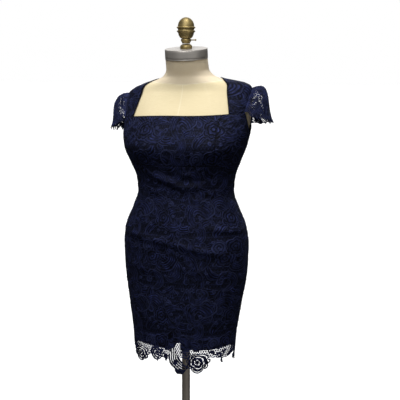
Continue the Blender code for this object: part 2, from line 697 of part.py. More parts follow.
def form_boss(dark):
    """Flanged boss under the form, which turns on the top of the pole."""
    top = FORM_BOTTOM_Z - SEAM_GAP
    profile = [(TUBE_BORE, BOSS_FOOT_Z), (0.0155, BOSS_FOOT_Z), (0.0155, top - 0.015),
               (0.0450, top - 0.006), (0.0450, top), (TUBE_BORE, top), (TUBE_BORE, BOSS_FOOT_Z)]
    lathe("form_boss", profile, 24, dark)


def smooth_share(value, low, high):
    share = min(1.0, max(0.0, (value - low) / (high - low)))
    return share * share * (3.0 - 2.0 * share)


def lift_shoulders(made):
    """Shear a piece of the dress or the form so that its left shoulder stands higher."""
    for vertex in made.data.vertices:
        share = vertex.co.x / SHOULDER_REACH
        rise = smooth_share(vertex.co.z, LIFT_FOOT_Z, LIFT_FULL_Z)
        rise *= 1.0 - smooth_share(vertex.co.z, LIFT_FADE_Z, LIFT_END_Z)
        vertex.co.z += SHOULDER_LIFT * share * abs(share) * rise


def carry(name, carried):
    """Empty on the stand's axis, with the pieces that move together as its children."""
    carrier = bpy.data.objects.new(name, None)
    bpy.context.scene.collection.objects.link(carrier)
    for made in carried:
        made.parent = carrier
    return carrier


def main():
    for old in list(bpy.data.objects):
        bpy.data.objects.remove(old, do_unlink=True)
    lace = material("navy lace", (0.016, 0.018, 0.060), 0.75)
    lining = material("navy lining", (0.006, 0.007, 0.022), 0.60)
    tape = material("zip tape", (0.010, 0.011, 0.035), 0.80)
    zip_metal = material("zip metal", (0.035, 0.037, 0.060), 0.35, 0.8)
    linen = material("cream linen", (0.80, 0.71, 0.52), 0.90)
    plate = material("tan plate", (0.42, 0.34, 0.23), 0.85)
    aluminium = material("brushed aluminium", (0.62, 0.63, 0.65), 0.35, 1.0)
    brass = material("antique brass", (0.30, 0.24, 0.10), 0.40, 0.9)
    steel = material("painted base", (0.025, 0.024, 0.023), 0.50)
    dark = material("dark fitting", (0.020, 0.019, 0.018), 0.45)
    tube_metal = material("bronzed tube", (0.22, 0.19, 0.16), 0.35, 0.9)

    bodice_front(lace)
    bodice_side_fronts(lace)
    bodice_backs(lace)
    shoulder_straps(lace)
    cap_sleeves(lace)
    skirt_panels(lace)
    skirt_lining(lining)
    back_zip(tape, zip_metal)
    form_torso(linen)
    arm_plates(plate)
    for made in bpy.data.objects:
        if made.location.length == 0.0:
            lift_shoulders(made)
    neck_cap_and_finial(aluminium, brass)
    form_boss(dark)
    on_form = list(bpy.data.objects)
    stand(steel, dark, tube_metal)

    pole_carrier = carry("pole_axis", [bpy.data.objects["stand_pole"]])
    form_carrier = carry("form_axis", on_form)
    form_carrier.parent = pole_carrier


main()
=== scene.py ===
"""Looks of the lace cocktail dress on its limbless dress form and stand.

Metres, +Z up, the front faces -Y. Places on the dress are an angle round the body
(0 at the centre front, 90 at the wearer's left side seam) and a height.
Lace canvases are in millimetres of cloth.
"""

import math

import bmesh
import bpy
import numpy as np
from mathutils import Matrix, Vector


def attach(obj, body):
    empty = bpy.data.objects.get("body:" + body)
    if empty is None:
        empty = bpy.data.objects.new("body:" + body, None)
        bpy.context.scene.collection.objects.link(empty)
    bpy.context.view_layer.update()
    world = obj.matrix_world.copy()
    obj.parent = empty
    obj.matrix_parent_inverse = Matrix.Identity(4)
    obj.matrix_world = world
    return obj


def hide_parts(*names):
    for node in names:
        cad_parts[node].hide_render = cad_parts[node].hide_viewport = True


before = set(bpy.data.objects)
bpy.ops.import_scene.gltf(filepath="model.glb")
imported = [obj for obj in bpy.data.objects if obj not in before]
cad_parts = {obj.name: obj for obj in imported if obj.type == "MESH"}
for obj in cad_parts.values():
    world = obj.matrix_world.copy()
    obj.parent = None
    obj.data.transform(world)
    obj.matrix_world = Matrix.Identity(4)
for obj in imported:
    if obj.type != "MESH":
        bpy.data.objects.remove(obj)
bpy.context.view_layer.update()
MM = 0.001

# ---------------------------------------------------------------- sizes shared with the CAD part
SEAM_GAP = 0.0003
LACE_WALL = 0.0015
LINING_WALL = 0.0010
LINING_DEPTH = 0.0029
LINING_HEM_Z = 0.625
LINING_NOTCH_RISE = 0.026
LINING_NOTCH_ANGLE = 8.0
LINING_NOTCH_SPREAD = 7.0
LINING_TOP_DROP = 0.010     # the lining starts this far under the seam below the bust
ZIP_TAPE_WALL = 0.0008
ZIP_OPENING_HALF = 0.0014   # half of the gap between the back panels over the zip
EMPIRE_Z = 1.163
NECKLINE_Z = 1.305
ARMHOLE_Z = 1.245
BACK_NECK_Z = 1.378
SHOULDER_SEAM_ANGLE = 95.0
SHOULDER_LIFT = 0.0107      # the wearer's left shoulder stands higher, the right one lower
SHOULDER_REACH = 0.19
LIFT_FOOT_Z = 1.05
LIFT_FULL_Z = 1.30
LIFT_FADE_Z = 1.415
LIFT_END_Z = 1.440
NECK_TURN_Z = 1.409
BORDER_TOP_Z = 0.662        # the open lace border joins the backed lace here
BORDER_FOOT_Z = 0.549
FORM_BOTTOM_Z = 0.800
NECK_TOP_Z = 1.4655
NECK_CAP_HEIGHT = 0.0290
NECK_CAP_LEAN = math.radians(7.0)
NECK_CAP_RADIUS = 0.0625
ZIP_FOOT_Z = 0.985
BUST_Z = 1.212
BUST_ANGLE = 38.0
BUST_SPREAD = 24.0
BUST_RISE = 0.010
BUST_ABOVE = 0.045
BUST_BELOW = 0.034

# z, half_width, front, back, centre_y, square, ease
SECTIONS = np.array([
    (0.560, 0.153, 0.112, 0.120, -0.016, 2.20, 0.010),
    (0.640, 0.158, 0.118, 0.128, -0.012, 2.20, 0.010),
    (0.740, 0.172, 0.125, 0.138, -0.006, 2.20, 0.010),
    (0.840, 0.187, 0.127, 0.144, 0.000, 2.20, 0.010),
    (0.920, 0.190, 0.127, 0.143, 0.000, 2.20, 0.007),
    (0.980, 0.181, 0.122, 0.129, 0.000, 2.20, 0.007),
    (1.030, 0.161, 0.112, 0.107, 0.000, 2.20, 0.008),
    (1.080, 0.145, 0.103, 0.094, 0.000, 2.25, 0.008),
    (1.125, 0.149, 0.105, 0.096, 0.000, 2.35, 0.007),
    (1.163, 0.163, 0.114, 0.102, 0.000, 2.45, 0.006),
    (1.215, 0.183, 0.126, 0.109, 0.003, 2.50, 0.0054),
    (1.262, 0.192, 0.117, 0.108, 0.010, 2.45, 0.0062),
    (1.305, 0.193, 0.104, 0.100, 0.020, 2.35, 0.0050),
    (1.340, 0.194, 0.090, 0.086, 0.030, 2.25, 0.0044),
    (1.362, 0.192, 0.080, 0.074, 0.034, 2.15, 0.0046),
    (1.376, 0.188, 0.073, 0.066, 0.035, 2.05, 0.0048),
    (1.388, 0.170, 0.069, 0.060, 0.034, 2.00, 0.0044),
    (1.398, 0.138, 0.066, 0.057, 0.032, 2.00, 0.0034),
    (1.407, 0.104, 0.063, 0.055, 0.029, 2.00, 0.0026),
    (1.418, 0.078, 0.061, 0.056, 0.025, 2.00, 0.0026),
    (1.436, 0.066, 0.060, 0.058, 0.016, 2.00, 0.0026),
    (1.470, 0.0645, 0.060, 0.060, 0.004, 2.00, 0.0026),
])

# Soft ridges and troughs of the skirt: angle_from, z_from, angle_to, z_to, height, width
CREASES = [
    (-42.0, 1.140, 10.0, 1.101, 0.0064, 0.011),
    (8.0, 1.101, 42.0, 1.103, 0.0050, 0.010),
    (8.0, 1.139, 27.0, 1.136, 0.0034, 0.008),
    (26.0, 1.068, 46.0, 1.060, 0.0028, 0.009),
    (-78.0, 0.968, 2.0, 0.938, 0.0054, 0.012),
    (2.0, 0.938, 60.0, 0.908, 0.0046, 0.012),
    (86.0, 0.972, 42.0, 0.985, 0.0044, 0.009),
    (112.0, 1.104, 166.0, 1.072, 0.0054, 0.012),
    (-110.0, 1.116, -158.0, 1.086, 0.0048, 0.011),
    (148.0, 1.040, 200.0, 1.046, 0.0038, 0.011),
    (-96.0, 0.962, -150.0, 0.935, 0.0038, 0.012),
    # finer ones beside the main folds
    (-34.0, 1.119, 4.0, 1.086, -0.0016, 0.008),
    (-58.0, 1.098, -22.0, 1.076, 0.0016, 0.009),
    (12.0, 1.121, 44.0, 1.121, -0.0014, 0.007),
    (30.0, 1.084, 62.0, 1.078, 0.0015, 0.008),
    (-70.0, 0.944, -20.0, 0.922, -0.0014, 0.010),
    (20.0, 0.958, 70.0, 0.944, 0.0012, 0.009),
    (-64.0, 0.868, -8.0, 0.850, 0.0022, 0.012),
    (10.0, 0.872, 66.0, 0.846, 0.0020, 0.013),
    (-40.0, 0.770, 12.0, 0.760, 0.0010, 0.016),
    (100.0, 1.130, 140.0, 1.118, 0.0014, 0.008),
    (206.0, 1.066, 250.0, 1.094, 0.0018, 0.009),
    (120.0, 0.958, 170.0, 0.936, 0.0016, 0.012),
]

# Edges of the pieces: angle, z
PRINCESS_SEAM = np.array([(50.0, 1.163), (46.0, 1.212), (49.0, 1.260), (56.0, 1.305)])
STRAP_NECK_EDGE = np.array([(62.0, 1.305), (63.0, 1.335), (65.0, 1.362), (69.0, 1.384),
                            (76.0, 1.401), (95.0, 1.410)])
STRAP_ARM_EDGE = np.array([(77.0, 1.305), (79.5, 1.325), (82.5, 1.345), (86.0, 1.359),
                           (90.5, 1.367), (95.0, 1.371)])
BACK_ARM_EDGE = np.array([(90.0, 1.245), (98.0, 1.256), (104.5, 1.280), (107.0, 1.310),
                          (104.0, 1.342), (99.0, 1.362), (95.0, 1.371)])
FRONT_ARMHOLE = np.array([(77.0, 1.305), (80.0, 1.286), (84.5, 1.262), (90.0, 1.245)])
# Lower edge of the cap sleeve: along, x, y, z
SLEEVE_EDGE = np.array([
    (0.00, 0.199, -0.026, 1.293),
    (0.16, 0.228, -0.032, 1.282),
    (0.38, 0.248, -0.008, 1.272),
    (0.58, 0.252, 0.030, 1.268),
    (0.80, 0.236, 0.076, 1.262),
    (1.00, 0.200, 0.100, 1.262),
])


# ---------------------------------------------------------------- curves and surfaces
def curve_through(xs, ys):
    """Monotone cubic through the rows, flat beyond its ends; works on arrays."""
    xs = np.asarray(xs, float)
    ys = np.asarray(ys, float)
    steps = np.diff(ys) / np.diff(xs)
    product = steps[:-1] * steps[1:]
    total = np.where(product > 0.0, steps[:-1] + steps[1:], 1.0)
    inner = np.where(product > 0.0, 2.0 * product / total, 0.0)
    tangents = np.concatenate(([steps[0]], inner, [steps[-1]]))

    def value(x):
        x = np.clip(x, xs[0], xs[-1])
        i = np.clip(np.searchsorted(xs, x, side="right") - 1, 0, len(xs) - 2)
        span = xs[i + 1] - xs[i]
        t = (x - xs[i]) / span
        start = (1.0 + 2.0 * t) * (1.0 - t) ** 2 * ys[i] + t * (1.0 - t) ** 2 * span * tangents[i]
        end = t * t * (3.0 - 2.0 * t) * ys[i + 1] + t * t * (t - 1.0) * span * tangents[i + 1]
        return start + end

    return value


HALF_WIDTH, FRONT, BACK, CENTRE_Y, SQUARE, EASE = [
    curve_through(SECTIONS[:, 0], SECTIONS[:, k]) for k in range(1, 7)]


def mix(a, b, t):
    return a + (b - a) * t


def bell(distance, spread):
    return np.exp(-(distance / spread) ** 2)


def smooth(value, low, high):
    t = np.clip((value - low) / (high - low), 0.0, 1.0)
    return t * t * (3.0 - 2.0 * t)


def bust_rise(angle, z):
    lift = bell(z - BUST_Z, np.where(z > BUST_Z, BUST_ABOVE, BUST_BELOW))
    lobes = bell(angle - BUST_ANGLE, BUST_SPREAD) + bell(angle + BUST_ANGLE, BUST_SPREAD)
    return BUST_RISE * lift * lobes


def crease_rise(angle, z):
    rise = np.zeros_like(angle)
    per_degree = np.radians(HALF_WIDTH(z))
    for angle_from, z_from, angle_to, z_to, height, width in CREASES:
        turn = (angle - angle_from + 180.0) % 360.0 - 180.0
        along_x = (angle_to - angle_from) * per_degree
        along_z = z_to - z_from
        length = np.hypot(along_x, along_z)
        here_x = turn * per_degree
        here_z = z - z_from
        along = (here_x * along_x + here_z * along_z) / length
        across = (here_x * along_z - here_z * along_x) / length
        rise += height * bell(across, width) * np.exp(-np.abs(2.0 * along / length - 1.0) ** 4)
    return rise * np.clip((EMPIRE_Z - z) / 0.012, 0.0, 1.0)


def figure(angle, z, folded=True):
    """Points of the dress's outer face."""
    turned = (angle + 180.0) % 360.0 - 180.0
    side = np.sin(np.radians(turned))
    ahead = np.cos(np.radians(turned))
    power = SQUARE(z)
    depth = np.where(ahead > 0.0, FRONT(z), BACK(z))
    reach = (np.abs(side) / HALF_WIDTH(z)) ** power + (np.abs(ahead) / depth) ** power
    radius = reach ** (-1.0 / power) + bust_rise(turned, z)
    if folded:
        radius = radius + crease_rise(angle, z)
    return np.stack([radius * side, CENTRE_Y(z) - radius * ahead, z], axis=-1)


def unit(vectors):
    return vectors / np.maximum(np.linalg.norm(vectors, axis=-1, keepdims=True), 1e-12)


def skin(angle, z, depth=0.0, folded=True):
    """Points moved straight in by a depth, and the outward directions."""
    angle, z = np.broadcast_arrays(np.asarray(angle, float), np.asarray(z, float))
    here = figure(angle, z, folded)
    round_body = figure(angle + 0.25, z, folded) - figure(angle - 0.25, z, folded)
    up_body = figure(angle, z + 0.0005, folded) - figure(angle, z - 0.0005, folded)
    outward = unit(np.cross(round_body, up_body))
    return here - outward * np.asarray(depth)[..., None], outward


def along_edge(edge, t):
    spots = np.arange(len(edge)) / (len(edge) - 1.0)
    return curve_through(spots, edge[:, 0])(t), curve_through(spots, edge[:, 1])(t)


def lifted(points):
    """Shear that stands the left shoulder higher, as in the CAD part."""
    share = points[..., 0] / SHOULDER_REACH
    z = points[..., 2]
    rise = smooth(z, LIFT_FOOT_Z, LIFT_FULL_Z) * (1.0 - smooth(z, LIFT_FADE_Z, LIFT_END_Z))
    moved = points.copy()
    moved[..., 2] += SHOULDER_LIFT * share * np.abs(share) * rise
    return moved


# ---------------------------------------------------------------- lace canvases
THREAD_PITCH = 6.8          # millimetres between the corded rows inside a motif
CORD_HALF = 0.9
NET_PITCH = 7.5
NET_HALF = 0.5


def peony(x, y):
    r = np.hypot(x, y)
    t = np.arctan2(y, x)
    t = t + 0.22 * np.sin(2.0 * t + 0.6)
    outer = 0.80 + 0.20 * np.abs(np.cos(3.5 * t)) ** 0.7
    middle = 0.56 + 0.13 * np.abs(np.cos(2.5 * t + 0.7)) ** 0.7
    core = 0.28 + 0.08 * np.abs(np.cos(2.5 * t + 0.2))
    turn = (3.5 * t - math.pi / 2) % math.pi
    between = r * np.minimum(turn, math.pi - turn) / 3.5
    line = np.minimum(np.minimum(np.abs(r - middle), np.abs(r - core)), np.abs(r - 0.12))
    line = np.minimum(line, np.where(r > middle, between, 9.0))
    rows = np.where(r > middle, outer - r, np.where(r > core, middle - r, core - r))
    return outer - r, line, rows


def scroll(x, y):
    r = np.hypot(x, y)
    t = np.arctan2(y, x)
    q = ((t + 2.6) % (2.0 * math.pi)) / 5.0
    inside = np.clip(q, 0.0, 1.0)
    centre = 0.80 - 0.34 * inside
    half = 0.40 * np.sin(math.pi * np.clip(inside, 0.02, 1.0)) ** 0.6 * (1.0 - 0.3 * inside)
    away = r - centre
    shape = np.where(q <= 1.0, half - np.abs(away), -1.0)
    line = np.minimum(np.abs(away - half / 3.0), np.abs(away + half / 3.0))
    curl = np.hypot(x - 0.42 * math.cos(2.4), y - 0.42 * math.sin(2.4))
    in_curl = 0.24 - curl > shape
    return (np.where(in_curl, 0.24 - curl, shape), np.where(in_curl, np.abs(curl - 0.1), line),
            np.where(in_curl, curl, away))


def crescent(x, y):
    r = np.hypot(x, y)
    q = (np.arctan2(y, x) + 1.15) / 2.3
    half = 0.29 * np.sin(math.pi * np.clip(q, 0.02, 0.98)) ** 0.5
    away = r - 0.71
    shape = np.where((q > 0.0) & (q < 1.0), half - np.abs(away), -1.0)
    return shape, np.full(x.shape, 9.0), away


def swirl(x, y):
    r = np.hypot(x, y)
    t = np.arctan2(y, x)
    arm = ((r / 0.34 - t / (2.0 * math.pi) + 0.5) % 1.0 - 0.5) * 0.34
    shape = np.minimum(0.075 - np.abs(arm), 0.95 - r)
    return shape, np.abs(arm), arm


def fan(x, y):
    r = np.hypot(x + 0.6, y)
    t = np.arctan2(y, x + 0.6)
    outer = 1.30 * (0.90 + 0.10 * np.abs(np.cos(6.0 * t)))
    shape = np.minimum(np.minimum(outer - r, r * (0.95 - np.abs(t))), r - 0.15)
    line = np.minimum(np.abs(r - 0.90), np.abs(r - 0.52))
    return shape, line, t * 0.9


def leaf(x, y):
    bent = y - 0.30 * x * x + 0.12
    half = 0.36 * np.clip(1.0 - x * x, 0.0, 1.0) ** 0.8 * (1.0 - 0.25 * x)
    shape = np.where(np.abs(x) < 1.0, (half - np.abs(bent)) * 0.9, -1.0)
    return shape, np.abs(bent), 0.6 * x + 0.9 * np.abs(bent)


def tendril(x, y):
    r = np.hypot(x, y)
    q = ((np.arctan2(y, x) + 2.4) % (2.0 * math.pi)) / 4.6
    centre = 0.95 - 0.35 * np.clip(q, 0.0, 1.0)
    shape = np.where(q <= 1.0, 0.04 - np.abs(r - centre), -1.0)
    return shape, np.abs(r - centre), r


def rosette(x, y):
    r = np.hypot(x, y)
    outer = 0.88 + 0.12 * np.cos(6.0 * np.arctan2(y, x))
    return outer - r, np.abs(r - 0.45), outer - r


MOTIFS = {"peony": peony, "scroll": scroll, "swirl": swirl, "fan": fan, "leaf": leaf,
          "tendril": tendril, "rosette": rosette, "crescent": crescent}


class Canvas:
    """A stretch of lace: how far inside a thread each place is, and what thread it is."""

    def __init__(self, left, low, width, height, step, wrap=(True, True)):
        self.left, self.low, self.width, self.height = left, low, width, height
        self.step, self.wrap = step, wrap
        columns = int(round(width / step))
        rows = int(round(height / step))
        xs = left + (np.arange(columns) + 0.5) * step
        ys = low + (np.arange(rows) + 0.5) * step
        self.x, self.y = np.meshgrid(xs, ys)
        # a hand-drawn design wanders a little, in whole waves so that repeats still meet
        turn_x, turn_y = 2.0 * math.pi * self.x / width, 2.0 * math.pi * self.y / height
        waves_x, waves_y = max(1, round(width / 110.0)), max(1, round(height / 110.0))
        self.drift_x = 1.5 * np.sin(waves_x * turn_x + 2.0 * waves_y * turn_y)
        self.drift_x += 0.4 * np.sin(1.0 + 3.0 * waves_y * turn_y - 2.0 * waves_x * turn_x)
        self.drift_y = 1.5 * np.sin(2.0 * waves_x * turn_x - waves_y * turn_y + 0.7)
        self.drift_y += 0.4 * np.sin(3.0 * waves_x * turn_x + 2.0 * waves_y * turn_y)
        self.thread = np.full(self.x.shape, -3.0)
        self.motif = np.zeros(self.x.shape)
        self.cord = np.zeros(self.x.shape)
        self.rows = np.zeros(self.x.shape)

    def net(self, pitch=NET_PITCH, half=NET_HALF):
        """Ground of fine bars in three directions."""
        near = np.full(self.x.shape, 9.0)
        for turn in (90.0, 30.0, -30.0):
            a = math.radians(turn)
            across = (self.x * math.cos(a) + self.y * math.sin(a)) / pitch
            near = np.minimum(near, np.abs((across + 0.5) % 1.0 - 0.5) * pitch)
        self.thread = np.maximum(self.thread, half - near)
        bar = np.clip(1.0 - near / (half + 0.4), 0.0, 1.0)
        self.cord = np.maximum(self.cord, 0.35 * bar)
        self.motif = np.maximum(self.motif, 0.40 * bar)

    def draw(self, kind, cx, cy, turn, size, halo=0.0, opened=False, stretch=1.0):
        dx = self.x + self.drift_x - cx
        dy = self.y + self.drift_y - cy
        if self.wrap[0]:
            dx = (dx + 0.5 * self.width) % self.width - 0.5 * self.width
        if self.wrap[1]:
            dy = (dy + 0.5 * self.height) % self.height - 0.5 * self.height
        reach = 1.25 * size * max(1.0, stretch)
        near = (np.abs(dx) < reach) & (np.abs(dy) < reach)
        a = math.radians(turn)
        x = (dx[near] * math.cos(a) + dy[near] * math.sin(a)) / size / stretch
        y = (dy[near] * math.cos(a) - dx[near] * math.sin(a)) / size
        shape, line, rows = MOTIFS[kind](x, y)
        shape, line, rows = shape * size, line * size, rows * size / THREAD_PITCH
        inside = shape > -CORD_HALF
        thread = shape + CORD_HALF
        if opened:
            bars = 0.35 * THREAD_PITCH - np.abs((rows + 0.5) % 1.0 - 0.5) * THREAD_PITCH
            keep = np.maximum(np.maximum(1.2 - np.abs(shape), CORD_HALF - line), bars)
            thread = np.minimum(thread, keep)
        edge = np.clip(1.15 - np.abs(shape) / (CORD_HALF + 0.3), 0.0, 1.0)
        cord = np.maximum(edge, 0.75 * np.clip(1.1 - line / 0.9, 0.0, 1.0))
        where = np.where(near)
        ring = (shape <= -CORD_HALF) & (shape > -CORD_HALF - halo)
        put = (where[0][ring], where[1][ring])
        self.motif[put] *= 0.15
        self.cord[put] *= 0.15
        put = (where[0][inside], where[1][inside])
        if opened:
            self.thread[put] = thread[inside]
        else:
            self.thread[put] = np.maximum(self.thread[put], thread[inside])
        self.motif[put] = 1.0
        self.cord[put] = cord[inside]
        self.rows[put] = rows[inside]

    def relief(self):
        """Height of the lace's face over the plain wall, in millimetres."""
        ridge = 0.5 + 0.5 * np.cos(2.0 * math.pi * self.rows)
        return -0.45 + self.motif * (0.55 + 0.20 * ridge) + 0.45 * self.cord

    def sample(self, field, x, y, nearest=False):
        fx = (x - self.left) / self.step - 0.5
        fy = (y - self.low) / self.step - 0.5
        rows, columns = field.shape

        def at(i, j):
            i = i % rows if self.wrap[1] else np.clip(i, 0, rows - 1)
            j = j % columns if self.wrap[0] else np.clip(j, 0, columns - 1)
            return field[i, j]

        if nearest:
            return at(np.rint(fy).astype(int), np.rint(fx).astype(int))
        j, i = np.floor(fx).astype(int), np.floor(fy).astype(int)
        tx, ty = fx - j, fy - i
        low = mix(at(i, j), at(i, j + 1), tx)
        return mix(low, mix(at(i + 1, j), at(i + 1, j + 1), tx), ty)


def allover_lace():
    """Repeat of the all-over lace: peonies among scrolls, swirls, fans and leaves."""
    made = Canvas(0.0, 0.0, ALLOVER_WIDE, ALLOVER_HIGH, CANVAS_STEP)
    made.net()
    chance = np.random.default_rng(11)
    columns, rows = 5, 8
    kinds = ["scroll", "leaf", "crescent", "scroll", "crescent", "fan", "peony", "crescent", "leaf",
             "crescent", "swirl", "scroll", "leaf", "scroll", "crescent", "tendril", "scroll", "peony",
             "crescent"]
    sizes = {"peony": 25.0, "scroll": 37.0, "swirl": 23.0, "fan": 24.0, "leaf": 27.0, "tendril": 30.0,
             "crescent": 47.0}
    order = ["leaf", "fan", "crescent", "swirl", "scroll", "peony", "tendril"]
    spots = []
    for i in range(columns):
        for j in range(rows):
            x = (i + 0.5 * (j % 2)) * made.width / columns + chance.uniform(-6.0, 6.0)
            y = j * made.height / rows + chance.uniform(-6.0, 6.0)
            kind = kinds[(i * 7 + j * 4) % len(kinds)]
            size = sizes[kind] * chance.uniform(0.75, 1.2)
            spots.append((kind, x, y, chance.uniform(0.0, 360.0), size))
    for wanted in order:
        for kind, x, y, turn, size in spots:
            if kind == wanted:
                made.draw(kind, x, y, turn, size, halo=1.3)
    for _ in range(26):
        made.draw("rosette", chance.uniform(0.0, made.width), chance.uniform(0.0, made.height),
                  0.0, chance.uniform(4.0, 6.5), halo=1.2)
    return made


ACROSS = 2.5                # millimetres of cloth for a degree round the body
BORDER_ACROSS = 2.4
BORDER_LOW_Z = 0.545

# Motifs of the hem border: kind, angle, z, turn, size in millimetres, opened, stretch
BORDER_MOTIFS = [
    ("leaf", -74.0, 0.618, 160.0, 20.0, False, 1.0),
    ("swirl", -25.0, 0.607, 20.0, 21.0, False, 1.2),
    ("crescent", 17.0, 0.611, 218.0, 58.0, True, 1.0),
    ("leaf", -11.0, 0.598, 105.0, 13.0, False, 1.0),
    ("leaf", 11.0, 0.557, 3.0, 20.0, False, 1.0),
    ("rosette", 4.0, 0.584, 0.0, 8.0, False, 1.0),
    ("tendril", 15.0, 0.607, 75.0, 13.0, False, 1.0),
    ("leaf", 52.0, 0.616, 150.0, 12.0, False, 1.0),
    ("leaf", 65.0, 0.611, 25.0, 17.0, True, 1.1),
    ("leaf", 79.0, 0.604, 55.0, 15.0, False, 1.0),
    ("peony", -53.0, 0.594, 8.0, 24.0, True, 1.5),
    ("peony", 35.0, 0.586, 10.0, 30.0, True, 1.25),
    ("scroll", 104.0, 0.590, 190.0, 33.0, True, 1.0),
    ("swirl", 124.0, 0.608, 40.0, 21.0, False, 1.1),
    ("peony", 146.0, 0.588, 0.0, 29.0, True, 1.0),
    ("leaf", 164.0, 0.600, 20.0, 19.0, False, 1.0),
    ("crescent", 190.0, 0.611, 222.0, 56.0, True, 1.0),
    ("leaf", 206.0, 0.600, 60.0, 16.0, False, 1.0),
    ("peony", 223.0, 0.590, 25.0, 28.0, True, 1.0),
    ("swirl", 244.0, 0.608, 10.0, 21.0, False, 1.1),
    ("leaf", 258.0, 0.598, 30.0, 18.0, False, 1.0),
]
# Small leaf tips that hang from the net's lower edge: angle, z, turn
BORDER_TIPS = [(-24.0, 0.589, 240.0), (65.0, 0.588, 285.0), (-64.0, 0.590, 250.0), (88.0, 0.586, 270.0),
               (120.0, 0.588, 250.0), (166.0, 0.586, 280.0), (202.0, 0.588, 255.0), (240.0, 0.588, 280.0)]


def border_lace(allover):
    """The open border: net and motifs below the lining's hem, its edge shaped by them."""
    made = Canvas(-90.0 * BORDER_ACROSS, BORDER_LOW_Z / MM, 360.0 * BORDER_ACROSS, BORDER_HIGH,
                  CANVAS_STEP, (True, False))
    made.net(6.2, 0.55)
    z = made.y * MM
    angle = made.x / BORDER_ACROSS
    # the same all-over lace as on the skirt comes down over the net's top
    shift = 5.0 * np.sin(np.radians(angle * 7.0)) + 3.0 * np.sin(np.radians(angle * 19.0 + 40.0))
    notch = 30.0 * np.clip(1.0 - np.abs(angle - LINING_NOTCH_ANGLE) / (1.6 * LINING_NOTCH_SPREAD), 0.0, 1.0)
    fromtop = z / MM > 628.0 + shift * (notch == 0.0) + notch
    x = angle * ACROSS
    for name in ("motif", "cord", "rows"):
        own = getattr(made, name)
        own[fromtop] = allover.sample(getattr(allover, name), x, made.y, name == "rows")[fromtop]
    backed = allover.sample(allover.thread, x, made.y)
    made.thread[fromtop] = np.maximum(made.thread, backed)[fromtop]
    foot = 596.0 + 3.5 * np.sin(np.radians(angle * 9.0)) + 2.0 * np.abs(np.sin(np.radians(angle * 30.0)))
    above = made.y - foot
    made.thread = np.minimum(made.thread, above)
    edge = np.clip(1.2 - np.abs(above - 0.9) / 1.1, 0.0, 1.0)
    made.thread = np.maximum(made.thread, 1.1 - np.abs(above - 0.9))
    made.cord = np.maximum(made.cord * (above > 0.0), 0.8 * edge)
    made.motif = np.maximum(made.motif * (above > 0.0), edge)
    for kind, at, height, turn, size, opened, stretch in BORDER_MOTIFS:
        made.draw(kind, at * BORDER_ACROSS, height / MM, turn, size, 0.0, opened, stretch)
    for at, height, turn in BORDER_TIPS:
        made.draw("leaf", at * BORDER_ACROSS, height / MM, turn, 6.5, 0.0, False, 1.2)
    return made


SLEEVE_AROUND = 270.0
SLEEVE_ACROSS = 82.0
SCALLOP_PITCH = 21.0
ALLOVER_WIDE, ALLOVER_HIGH = 216.0, 288.0  # the piece of lace that repeats
BORDER_HIGH = 125.0
CANVAS_STEP = 0.5
# Motifs of the cap sleeve: kind, around, across (shares), turn, size, opened
SLEEVE_MOTIFS = [
    ("leaf", 0.06, 0.55, 80.0, 20.0, False),
    ("scroll", 0.15, 0.42, 30.0, 17.0, False),
    ("leaf", 0.24, 0.80, 10.0, 20.0, True),
    ("fan", 0.34, 0.52, 90.0, 18.0, False),
    ("scroll", 0.50, 0.24, 120.0, 15.0, False),
    ("leaf", 0.44, 0.86, -15.0, 20.0, False),
    ("peony", 0.55, 0.62, 0.0, 22.0, False),
    ("scroll", 0.70, 0.32, 210.0, 18.0, False),
    ("leaf", 0.70, 0.84, 15.0, 20.0, True),
    ("fan", 0.80, 0.58, 70.0, 18.0, False),
    ("scroll", 0.92, 0.32, 300.0, 20.0, False),
    ("leaf", 0.95, 0.72, 95.0, 18.0, False),
    ("rosette", 0.12, 0.80, 0.0, 7.0, False),
    ("rosette", 0.36, 0.12, 0.0, 6.0, False),
    ("rosette", 0.62, 0.14, 0.0, 7.0, False),
    ("rosette", 0.84, 0.22, 0.0, 8.0, False),
]


def sleeve_lace():
    made = Canvas(0.0, 0.0, SLEEVE_AROUND, SLEEVE_ACROSS + 8.0, CANVAS_STEP, (False, False))
    made.net(6.0, 0.55)
    for kind, around, across, turn, size, opened in SLEEVE_MOTIFS:
        made.draw(kind, around * SLEEVE_AROUND, across * SLEEVE_ACROSS, turn, size, 0.0, opened)
    # leafy scallops along the free edge, and a solid sewn edge at the armhole
    scallop = np.abs(np.sin(math.pi * made.x / SCALLOP_PITCH))
    edge = SLEEVE_ACROSS - 8.0 + 6.0 * scallop ** 0.6
    below = edge - made.y
    rim = 1.3 - np.abs(below - 1.0)
    made.thread = np.maximum(np.minimum(made.thread, below), rim)
    made.cord = np.maximum(made.cord, np.clip(rim, 0.0, 1.0))
    made.motif = np.where(rim > 0.0, 1.0, made.motif)
    for k in range(13):
        turn = 60.0 + 30.0 * math.sin(k * 2.0)
        made.draw("leaf", (k + 0.5) * SCALLOP_PITCH, SLEEVE_ACROSS - 2.5, turn, 6.0)
    made.thread = np.maximum(made.thread, 4.0 - made.y)
    return made


# ---------------------------------------------------------------- mesh making
def add_object(name, data):
    obj = bpy.data.objects.new(name, data)
    bpy.context.scene.collection.objects.link(obj)
    return obj


def put_object(name, points, faces, surface, attributes=None, sharp=50.0):
    mesh = bpy.data.meshes.new(name)
    mesh.from_pydata(lifted(np.asarray(points).reshape(-1, 3)).tolist(), [], faces)
    mesh.validate()
    mesh.materials.append(surface)
    for label, values in (attributes or {}).items():
        made = mesh.attributes.new(label, "FLOAT", "POINT")
        made.data.foreach_set("value", np.asarray(values, np.float32).ravel())
    mesh.shade_smooth()
    mesh.set_sharp_from_angle(angle=math.radians(sharp))
    mesh.update()
    return add_object(name, mesh)


def settle(obj, nodes=(), body="form"):
    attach(obj, body)
    if nodes:
        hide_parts(*nodes)
    return obj


